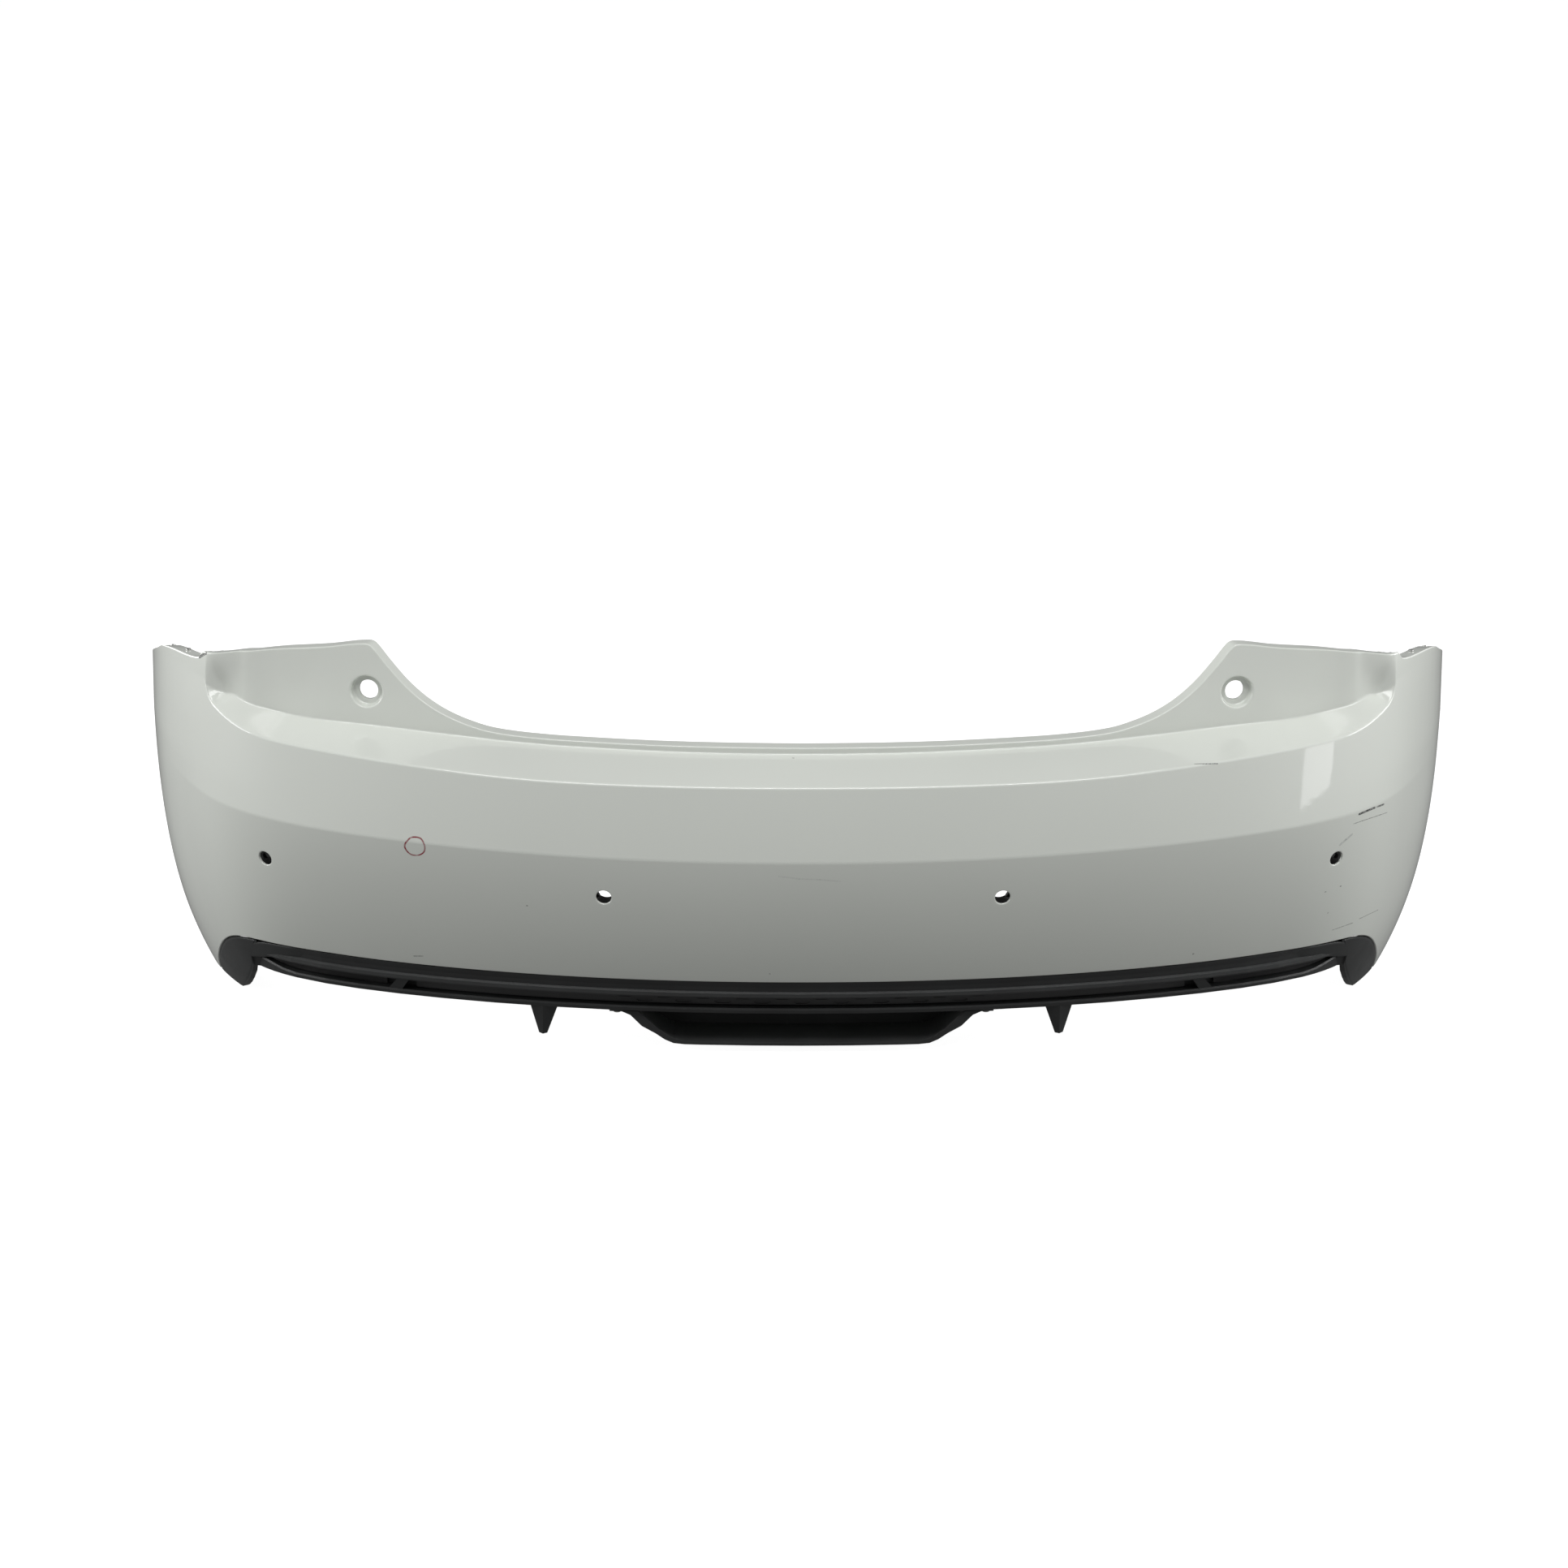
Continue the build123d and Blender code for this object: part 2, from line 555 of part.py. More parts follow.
def deep_band(u0, u1, z0=-290, z1=-220):
    return band(TRAY_ST, lambda s: [(u0, z0), (u0, z1), (u1, z1), (u1, z0)], True)


tray = biggest(common(ring, deep_band(57, 61)))
tray_parts = common(wall, deep_band(60.4, 122)) + common(prism_xz(tray_out, 30, 200), deep_band(119.5, 122))
print("tray", tray.is_valid, round(tray.volume), [(round(b.volume), b.is_valid) for b in tray_parts], flush=True)
for piece in tray_parts:
    tray = biggest(tray.fuse(piece))
for sg in (-1, 1):
    tab = band(sorted((sg * 212, sg * 232, sg * 250)), lambda s: [(60.5, -229.2), (60.5, TRAY_TOP), (75.5, TRAY_TOP), (75.5, -229.2)])
    tray = biggest(tray.fuse(tab))
for s, u in TRAY_SCREWS:
    x, y, z = pt(s, u, -228)
    tray = biggest(tray.cut(cylinder((x, y, z), (0, 0, 1), 2.3, -6, 6)))
write("centre_tray", tray)

# ---------------------------------------------------------------------------
# Parking sensor holders behind the holes
# ---------------------------------------------------------------------------
for nm, (s, z) in SENSORS.items():
    p, n, a = frame_at(s, z)
    d0 = WALL + 1.4
    holder = cylinder(p, n, 21.0, -d0 - 2.0, -d0).fuse(cylinder(p, n, 15.5, -d0 - 18, -d0 - 1.0))
    holder = biggest(holder).cut(cylinder(p, n, 11.8, -d0 - 30, 5))
    holder = biggest(holder).cut(cylinder(p, n, 13.2, -d0 - 30, -d0 - 3.0))
    up = np.cross(n, a)
    for k in range(3):
        ang = math.radians(90 + 120 * k)
        r = a * math.cos(ang) + up * math.sin(ang)
        c = p + r * 11.9 - n * (d0 + 12)
        claw = Solid.make_box(3.8, 6.0, 5.0, Plane(origin=tuple(c - np.cross(n, r) * 3.0 - n * 2.5 - r * 1.9),
                                                   x_dir=tuple(r), z_dir=tuple(n)))
        holder = biggest(sols(holder)[0].fuse(claw))
    write(f"sensor_holder_{nm}", biggest(holder))

# ---------------------------------------------------------------------------
# Guide rails behind the side seams, with their rivets
# ---------------------------------------------------------------------------


def seam_z(y):
    return float(np.interp(y, [p[0] for p in SEAM_YZ], [p[1] for p in SEAM_YZ]))


def rail_section(s):
    out = []
    for du, dz in ((5.8, -16.0), (5.8, 0.0), (18.0, 0.0), (18.0, -2.2), (8.2, -2.2), (8.2, -16.0)):
        zt = 180.0
        for _ in range(4):
            u = skin(s, zt) + du
            zt = seam_z(pt(s, u, zt)[1] + ORG_Y) - 3.5
        out.append((u, zt + dz))
    return out


RAIL_RIVETS = [880.0, 940.0, 1000.0]
rivets = []
for nm, sg in (("left_guide_rail", -1), ("right_guide_rail", 1)):
    rail = band(sorted(sg * v for v in (850, 880, 910, 940, 970, 1000, 1025)), rail_section)
    for s in RAIL_RIVETS:
        zt = seam_z(pt(s, skin(s, 170) + 12, 0)[1] + ORG_Y)
        u = skin(s, zt) + 12.5
        x, y, z = pt(sg * s, u, zt - 3.3)
        yy = y + ORG_Y
        m = (seam_z(yy + 4) - seam_z(yy - 4)) / 8
        ax = (0, -m / math.hypot(1, m), 1 / math.hypot(1, m))
        hole = cylinder((x, y, z), ax, 1.9, -9, 9)
        rail = biggest(rail.cut(hole))
        cover = biggest(cover.cut(hole))
        rv = cylinder((x, y, z), ax, 1.7, -3.6, 4.6)
        rv = biggest(rv.fuse(cylinder((x, y, z), ax, 3.4, 3.9, 5.2)))
        rv = biggest(rv.fuse(cylinder((x, y, z), ax, 3.2, -4.6, -3.3)))
        rivets.append(rv)
    write(nm, rail)
write("guide_rail_rivets", Compound(children=rivets))

# ---------------------------------------------------------------------------
# Corner braces that tie the end caps to the cover, with their rivets
# ---------------------------------------------------------------------------
brace_rivets = []
for nm, sg in (("left_corner_brace", -1), ("right_corner_brace", 1)):
    brace = band(sorted(sg * v for v in (883, 905, 928, 950, 968, 985)),
                 lambda s: [(skin(s, -277) + 6.4, -275.9), (skin(s, -277) + 17.5, -275.9),
                            (skin(s, -277) + 17.5, -273.9), (skin(s, -277) + 6.4, -273.9)])
    for s in RIVET_S:
        x, y, z = pt(sg * s, skin(s, -277) + 11.5, -276)
        brace = biggest(brace.cut(cylinder((x, y, z), (0, 0, 1), 2.6, -4, 4)))
        rv = cylinder((x, y, z), (0, 0, 1), 2.4, -4.2, 3.6)
        rv = biggest(rv.fuse(cylinder((x, y, z), (0, 0, 1), 4.4, -4.2, -2.8)))
        rv = biggest(rv.fuse(cylinder((x, y, z), (0, 0, 1), 4.2, 2.3, 3.6)))
        brace_rivets.append(rv)
    write(nm, brace)
write("brace_rivets", Compound(children=brace_rivets))

# ---------------------------------------------------------------------------
# Push clips, tray screws and U-nuts
# ---------------------------------------------------------------------------
clips = []
for s in CLIP_S:
    c = pt(s, CLIP_U, -175)
    k = cylinder(c, (0, 0, 1), 2.6, -8.5, 3.5)
    k = biggest(k.fuse(cylinder(c, (0, 0, 1), 6.5, 3.0, 4.8)))
    k = biggest(k.fuse(cylinder(c, (0, 0, 1), 3.7, -6.4, -3.2)))
    clips.append(k)
write("diffuser_clips", Compound(children=clips))

screws = []
for s, u in TRAY_SCREWS:
    c = pt(s, u, -229.2)
    k = cylinder(c, (0, 0, 1), 2.0, -1.0, 9.0)
    k = biggest(k.fuse(cylinder(c, (0, 0, 1), 4.6, -2.8, -0.2)))
    screws.append(k)
write("tray_screws", Compound(children=screws))

nuts = []
for x in (-TOP_SCREW_X, TOP_SCREW_X):
    # a plate held under the flange, with the threaded collar below it
    nut = Solid.make_box(14, 13, 3.0, Plane((x - 7, TOP_HOLE_Y - 6.5, -4.5)))
    nut = biggest(nut.fuse(cylinder((x, TOP_HOLE_Y, 0), (0, 0, 1), 5.2, -7.5, -4.0)))
    nut = biggest(nut.cut(cylinder((x, TOP_HOLE_Y, 0), (0, 0, 1), 3.0, -12, 4)))
    nuts.append(nut)
write("top_clip_nuts", Compound(children=nuts))

nuts = []
for sg in (-1, 1):
    yc = ARCH_Y - ARCH_R - 0.3 - FLANGE_T / 2 - ORG_Y
    xe = ARCH_EDGE_X
    nut = Solid.make_box(17, 6.2, 14, Plane((xe - 5.6, yc - 3.1, ARCH_Z - ORG_Z - 7)))
    nut = nut.cut(Solid.make_box(18, 3.5, 20, Plane((xe - 3.9, yc - 1.75, ARCH_Z - ORG_Z - 10))))
    nut = biggest(nut).cut(cylinder((ARCH_HOLE_X, yc, ARCH_Z - ORG_Z), (0, 1, 0), 3.0, -8, 8))
    nut = biggest(nut)
    if sg < 0:
        nut = biggest(nut.mirror(Plane.YZ))
    nuts.append(nut)
write("arch_u_nuts", Compound(children=nuts))
write("bumper_cover", cover)
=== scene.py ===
import bpy
import math
import numpy as np
from mathutils import Matrix, Vector


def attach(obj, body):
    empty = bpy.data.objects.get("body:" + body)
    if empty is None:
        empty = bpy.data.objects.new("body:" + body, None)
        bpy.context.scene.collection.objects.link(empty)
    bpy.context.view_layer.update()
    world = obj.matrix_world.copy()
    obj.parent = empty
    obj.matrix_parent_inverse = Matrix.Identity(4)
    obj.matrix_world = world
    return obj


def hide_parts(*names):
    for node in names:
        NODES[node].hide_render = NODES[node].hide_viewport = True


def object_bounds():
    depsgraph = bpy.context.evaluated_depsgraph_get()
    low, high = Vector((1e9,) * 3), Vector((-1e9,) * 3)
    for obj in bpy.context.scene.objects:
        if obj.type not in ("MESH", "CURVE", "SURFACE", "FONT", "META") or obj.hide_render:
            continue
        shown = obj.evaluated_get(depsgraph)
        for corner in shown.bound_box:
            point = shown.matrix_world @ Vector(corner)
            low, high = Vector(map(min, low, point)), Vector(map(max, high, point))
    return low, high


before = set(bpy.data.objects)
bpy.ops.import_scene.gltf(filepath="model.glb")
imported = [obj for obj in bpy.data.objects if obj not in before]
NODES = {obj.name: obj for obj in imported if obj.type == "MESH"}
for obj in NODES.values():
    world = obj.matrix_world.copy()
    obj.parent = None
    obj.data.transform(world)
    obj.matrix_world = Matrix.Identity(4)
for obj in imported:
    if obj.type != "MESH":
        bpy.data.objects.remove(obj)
box_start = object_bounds()

# ---------------------------------------------------------------------------
# Bumper coordinates in millimetres: s along the middle character line, u inset
# square to it, z height over the line's centre. Same numbers as the part.
# ---------------------------------------------------------------------------
WALL = 3.0
ORG_Y, ORG_Z = 112.0, 112.45
SIDE_BOTTOM_Z = -279.0
ARCH_Y, ARCH_Z, ARCH_R = 712.0, -150.0, 345.0
PLAN_S = [0, 150, 300, 450, 560, 640, 700, 750, 790, 830, 880, 950, 1062, 1130.]
PLAN_A = [0, 3.67, 7.96, 12.49, 16.84, 22.85, 31.08, 41.32, 50.84, 57.9, 62.2, 67.3, 81.5, 86.0]


def natural_spline(xk, yk, x):
    xk, yk = np.asarray(xk, float), np.asarray(yk, float)
    n = len(xk)
    h = np.diff(xk)
    a, b = np.zeros((n, n)), np.zeros(n)
    a[0, 0] = a[-1, -1] = 1
    for i in range(1, n - 1):
        a[i, i - 1], a[i, i], a[i, i + 1] = h[i - 1], 2 * (h[i - 1] + h[i]), h[i]
        b[i] = 6 * ((yk[i + 1] - yk[i]) / h[i] - (yk[i] - yk[i - 1]) / h[i - 1])
    m = np.linalg.solve(a, b)
    x = np.asarray(x, float)
    i = np.clip(np.searchsorted(xk, x) - 1, 0, n - 2)
    t = x - xk[i]
    hh = h[i]
    return (yk[i] + t * ((yk[i + 1] - yk[i]) / hh - hh * (2 * m[i] + m[i + 1]) / 6)
            + t * t * m[i] / 2 + t ** 3 * (m[i + 1] - m[i]) / (6 * hh))


def monotone(xk, yk, x):
    """Monotone cubic through the points."""
    xk, yk = np.asarray(xk, float), np.asarray(yk, float)
    h = np.diff(xk)
    d = np.diff(yk) / h
    m = np.zeros(len(xk))
    for i in range(1, len(xk) - 1):
        if d[i - 1] * d[i] > 0:
            w1, w2 = 2 * h[i] + h[i - 1], h[i] + 2 * h[i - 1]
            m[i] = (w1 + w2) / (w1 / d[i - 1] + w2 / d[i])
    m[0], m[-1] = d[0], d[-1]
    x = np.clip(np.asarray(x, float), xk[0], xk[-1])
    i = np.clip(np.searchsorted(xk, x, side="right") - 1, 0, len(xk) - 2)
    t = (x - xk[i]) / h[i]
    return (yk[i] * (1 + 2 * t) * (1 - t) ** 2 + h[i] * m[i] * t * (1 - t) ** 2
            + yk[i + 1] * t * t * (3 - 2 * t) + h[i] * m[i + 1] * t * t * (t - 1))


SG = np.linspace(0, 1140, 2281)
AG = np.radians(natural_spline(PLAN_S, PLAN_A, SG))
XG = np.r_[0, np.cumsum((np.cos(AG[1:]) + np.cos(AG[:-1])) / 2 * np.diff(SG))]
YG = np.r_[0, np.cumsum((np.sin(AG[1:]) + np.sin(AG[:-1])) / 2 * np.diff(SG))]


def pos(s, u, z):
    """Bumper coordinates to the part's frame, millimetres, as an (..., 3) array."""
    s, u, z = np.broadcast_arrays(np.asarray(s, float), np.asarray(u, float), np.asarray(z, float))
    a = np.abs(s)
    x, y, p = np.interp(a, SG, XG), np.interp(a, SG, YG), np.interp(a, SG, AG)
    sg = np.where(s < 0, -1.0, 1.0)
    return np.stack([sg * (x - u * np.sin(p)), y + u * np.cos(p) - ORG_Y, z - ORG_Z], -1)


def smooth(a, b, x):
    t = np.clip((np.asarray(x, float) - a) / (b - a), 0, 1)
    return t * t * (3 - 2 * t)


def z_mid(s):
    x = np.interp(np.abs(s), SG, XG)
    return np.where(x < 700, 15 * (x / 700) ** 2, 15 + (x - 700) * 0.05 + 0.0002 * (x - 700) ** 2)


Z1_S = [0, 100, 190, 290, 392, 444, 496, 550, 605, 663, 687, 715, 741, 760, 776, 790, 798, 804, 808, 830, 1140]
Z1_Z = [92, 92, 92.3, 93, 96, 99, 102, 105.3, 108.8, 112.2, 114.1, 118.1, 123.9, 129.9, 135.9, 142.5, 150, 159,
        167, 168, 176]
U0_S = [0, 150, 300, 420, 470, 527, 583, 640, 705, 728, 755, 774, 788, 796, 806]
U0_U = [98, 100, 104, 102.5, 100, 97, 90, 79, 66, 57.5, 44, 38.5, 34, 31, 27]
_S = np.linspace(0, 1140, 4561)


def _soft(v, n):
    k = np.hanning(n + 2)[1:-1]
    k /= k.sum()
    w = np.r_[v[1:n + 1][::-1], v, v[-n - 1:-1][::-1]]
    return np.convolve(w, k, "same")[n:-n]


_Z1 = _soft(monotone(Z1_S, Z1_Z, _S), 41)
_U0 = _soft(monotone(U0_S, U0_U, np.minimum(_S, 806)), 61)


def z_step(s):
    return np.interp(np.abs(s), _S, _Z1)


def u_skin(s, h):
    w = smooth(600, 960, np.abs(s))
    uc = np.where(h > 0, 0.14 * h + 0.0002 * h * h, -0.12 * h + 0.00054 * h * h)
    d = np.maximum(35 - h, 0)
    us = 3.0e-5 * d * d + 1.27e-6 * d ** 3 - 0.10 + 0.035 * np.maximum(h - 35, 0)
    return (1 - w) * uc + w * us


def skin(s, z):
    return u_skin(s, z - z_mid(s))


def step_back(s):
    a = np.abs(s)
    z1 = z_step(a)
    u1 = skin(a, z1)
    u0 = np.interp(a, _S, _U0)
    far = u1 + 1.0 + 17.0 * (1 - smooth(806, 842, a))
    k = smooth(800, 812, a)
    u0 = np.where(a < 800, u0, (1 - k) * u0 + k * far)
    z0 = z1 + 12 * (1 - smooth(770, 806, a)) + 1.5
    # the ledge closes at the seam corner, where the shoulder meets the side
    k = smooth(770, 806, a) * smooth(146, 164, z0)
    u0 = (1 - k) * u0 + k * skin(a, z0)
    return np.maximum(u0, u1 + 1.0 * (1 - smooth(796, 808, a)) + 0.01), z0


def lean(s, z, u, z0):
    """The shoulder comes forward to the side's surface at the seam corner."""
    k = smooth(764, 806, np.abs(s)) * smooth(0, 56, z - z0)
    return (1 - k) * u + k * skin(s, z)


def u_wall(s, z):
    u0, z0 = step_back(s)
    return lean(s, z, u0 + 0.05 * (z - z0), z0)


def u_at(s, z):
    """Inset of the whole outer section as a function of height."""
    z1 = z_step(s)
    u1 = skin(s, z1)
    u0, z0 = step_back(s)
    f = np.clip((z - z1) / np.maximum(z0 - z1, 1e-6), 0, 1)
    return np.where(z <= z1, skin(s, np.minimum(z, z1)), np.where(z < z0, u1 + (u0 - u1) * f, u_wall(s, z)))


BORDER_XZ = [(0, -175), (640, -175), (690, -175.6), (712, -177.3), (728, -181.5), (740, -189),
             (750, -200), (759, -216), (767, -238), (772, -262), (773, -282), (773.5, -330)]
TOP_XZ = [(0, 114), (190, 114.1), (291, 114.8), (342, 116.6), (372, 118.8), (393, 121.6), (418, 128.3),
          (444, 138.4), (469, 152.6), (494, 172.9), (519, 201), (534, 220), (538, 224), (543, 225.6),
          (595, 219.4), (647, 213.6), (699, 207.8), (741, 203)]
SEAM_YZ = [(-50, 203), (212, 203), (219, 193.5), (228, 190.5), (259, 186.7), (280, 184.4), (311, 178.9),
           (361, 159.8), (420, 139), (485, 116.5), (560, 90)]
_bx = np.linspace(0, 773.4, 3000)
_bz = monotone([p[0] for p in BORDER_XZ], [p[1] for p in BORDER_XZ], _bx)
_tx = np.linspace(0, 741, 3000)
_tz = _soft(monotone([p[0] for p in TOP_XZ], [p[1] for p in TOP_XZ], _tx), 15)
_sy = np.linspace(-50, 560, 3000)
_sz = _soft(monotone([p[0] for p in SEAM_YZ], [p[1] for p in SEAM_YZ], _sy), 15)


def seam_z(y):
    return np.interp(y, _sy, _sz)


def _first(s, z, bad):
    """Height where bad (>0 outside) first turns positive along z."""
    i = int(np.argmax(bad > 0))
    if not (bad > 0).any():
        return z[-1]
    if i == 0:
        return z[0]
    f = bad[i - 1] / (bad[i - 1] - bad[i])
    return z[i - 1] + f * (z[i] - z[i - 1])


def _bottom(s):
    z = np.arange(-120, SIDE_BOTTOM_Z - 0.01, -0.5)
    x = pos(s, skin(s, z), z)[:, 0]
    zb = np.where(x < 773.3, np.interp(x, _bx, _bz), -400)
    return max(_first(s, z, zb - z), SIDE_BOTTOM_Z)


def _top(s):
    z = np.arange(60, 246, 0.5)
    p = pos(s, u_at(s, z), z)
    zt = np.where(p[:, 0] <= 741, np.interp(p[:, 0], _tx, _tz), seam_z(p[:, 1] + ORG_Y))
    return _first(s, z, z - zt)


_SC = np.linspace(0, 1130, 2261)
_ZB = np.array([_bottom(s) for s in _SC])
_ZT = np.array([_top(s) for s in _SC])


def z_low(s):
    return np.interp(np.abs(s), _SC, _ZB)


def z_top(s):
    return np.interp(np.abs(s), _SC, _ZT)


_AZ = np.linspace(-290, 190, 481)
_sa = np.linspace(850, 1130, 1121)


def _arch(z):
    y = pos(_sa, u_at(_sa, z), z)[:, 1] + ORG_Y
    d = ARCH_R ** 2 - (z - ARCH_Z) ** 2
    ya = ARCH_Y - math.sqrt(max(d, 1.0))
    return float(np.interp(ya, y, _sa))


_AS = np.array([_arch(z) for z in _AZ])


def s_arch(z):
    return np.interp(z, _AZ, _AS)


# ---------------------------------------------------------------------------
# Mesh helpers
# ---------------------------------------------------------------------------
class Sheet:
    """Vertices and faces gathered in millimetres, with a smoothing group for each face."""

    def __init__(self):
        self.v, self.f, self.g = [], [], []
        self.n = 0

    def add(self, pts):
        pts = np.asarray(pts, float).reshape(-1, 3)
        self.v.append(pts)
        k = self.n
        self.n += len(pts)
        return np.arange(k, self.n)

    def quads(self, idx, group=0, flip=False, keep=None, wrap_rows=False, wrap_cols=False):
        idx = np.asarray(idx)
        if wrap_rows:
            idx = np.vstack([idx, idx[:1]])
        if wrap_cols:
            idx = np.hstack([idx, idx[:, :1]])
        q = np.stack([idx[:-1, :-1], idx[:-1, 1:], idx[1:, 1:], idx[1:, :-1]], -1)
        if keep is not None:
            q = q[keep]
        q = q.reshape(-1, 4)
        if flip:
            q = q[:, ::-1]
        self.f.append(q)
        self.g.append(np.full(len(q), group))

    def strip(self, a, b, group=0, flip=False, closed=False):
        self.quads(np.vstack([a, b]), group, flip, wrap_cols=closed)

    def poly(self, ring, group=0, flip=False):
        """A flat cap over a ring by a fan about its centre."""
        v = np.vstack(self.v)
        c = self.add(v[ring].mean(0)[None])[0]
        r = np.asarray(ring)
        n = np.roll(r, -1)
        q = np.stack([r, n, np.full(len(r), c), np.full(len(r), c)], -1)
        if flip:
            q = np.stack([n, r, np.full(len(r), c), np.full(len(r), c)], -1)
        self.f.append(q)
        self.g.append(np.full(len(q), group))

    def mirror(self):
        """Adds the copy on the other side of the centre plane."""
        v, f, g = np.vstack(self.v), np.vstack(self.f), np.concatenate(self.g)
        idx = self.add(v * np.array([-1, 1, 1.0]))
        self.f.append(idx[f][:, ::-1])
        self.g.append(g.copy())

    def build(self, name, sharp=None):
        v, f, g = np.vstack(self.v) / 1000.0, np.vstack(self.f), np.concatenate(self.g)
        key = np.round(v * 1e5).astype(np.int64)
        _, first, inv = np.unique(key, axis=0, return_index=True, return_inverse=True)
        inv = np.asarray(inv).reshape(-1)
        v = v[first]
        f = inv[f]
        faces, groups = [], []
        for q, k in zip(f.tolist(), g.tolist()):
            r = []
            for w in q:
                if w not in r:
                    r.append(w)
            if len(r) >= 3:
                faces.append(r)
                groups.append(k)
        used = sorted({w for r in faces for w in r})
        remap = {w: i for i, w in enumerate(used)}
        faces = [[remap[w] for w in r] for r in faces]
        v = v[used]
        me = bpy.data.meshes.new(name)
        me.from_pydata(v.tolist(), [], faces)
        me.update()
        o = bpy.data.objects.new(name, me)
        bpy.context.scene.collection.objects.link(o)
        # area-weighted normals, kept apart between smoothing groups
        nf = np.zeros((len(faces), 3))
        for i, r in enumerate(faces):
            p = v[r]
            nf[i] = np.cross(p[2] - p[0], (p[3] if len(r) == 4 else p[2]) - p[1]) if len(r) == 4 else np.cross(
                p[1] - p[0], p[2] - p[0])
        lf = np.repeat(np.arange(len(faces)), [len(r) for r in faces])
        lv = np.array([w for r in faces for w in r])
        kk = lv * 64 + np.array(groups)[lf]
        uk, ki = np.unique(kk, return_inverse=True)
        ki = np.asarray(ki).reshape(-1)
        acc = np.zeros((len(uk), 3))
        np.add.at(acc, ki, nf[lf])
        ln = acc[ki]
        ln /= np.maximum(np.linalg.norm(ln, axis=1), 1e-12)[:, None]
        me.polygons.foreach_set("use_smooth", np.ones(len(faces), bool))
        me.normals_split_custom_set([tuple(n) for n in ln])
        me.update()
        return o


def bez(a, c, b, w):
    return a * (1 - w) ** 2 + c * 2 * w * (1 - w) + b * w * w


# ---------------------------------------------------------------------------
# Bumper cover
# ---------------------------------------------------------------------------
S_A = 930.0
BLOCKS = {"inner": (247.0, -53.7), "cup": (580.5, 164.0), "outer": (696.8, -45.3)}


def runs(*parts):
    out = []
    for a, b, n in parts:
        out += list(np.linspace(a, b, n + 1)[:-1])
    return out


COLS = runs((0, 232, 29), (232, 262, 10), (262, 480, 28), (480, 552.5, 20), (552.5, 608.5, 16), (608.5, 681.8, 14),
            (681.8, 711.8, 10), (711.8, 768, 16), (768, 850, 34), (850, 915, 28), (915, S_A, 4)) + [S_A]
COLS = np.array(COLS)
LAST = np.linspace(0, 1, 27)[1:]
A_F = np.array(runs((0, .6, 18), (.6, .77, 10), (.77, 1, 9)) + [1.0])
B_F = np.linspace(0, 1, 15)
C_F = np.linspace(0, 1, 12)
D_F = np.array(runs((0, .12, 3), (.12, .75, 16), (.75, 1, 7)) + [1.0])
W5 = np.linspace(0, 1, 7)[1:-1]
W7 = np.linspace(0, 1, 9)[1:-1]
FL = np.array([0.0, 0.35, 0.7, 1.0])
ROWS = ([("fb", f) for f in FL[::-1]] + [("cb", w) for w in W5] + [("A", f) for f in A_F] + [("c2", w) for w in W7]
        + [("B", f) for f in B_F] + [("c1", w) for w in W7] + [("C", f) for f in C_F] + [("c0", w) for w in W7]
        + [("D", f) for f in D_F] + [("ct", w) for w in W5] + [("ft", f) for f in FL])
FLANGE = 18.0


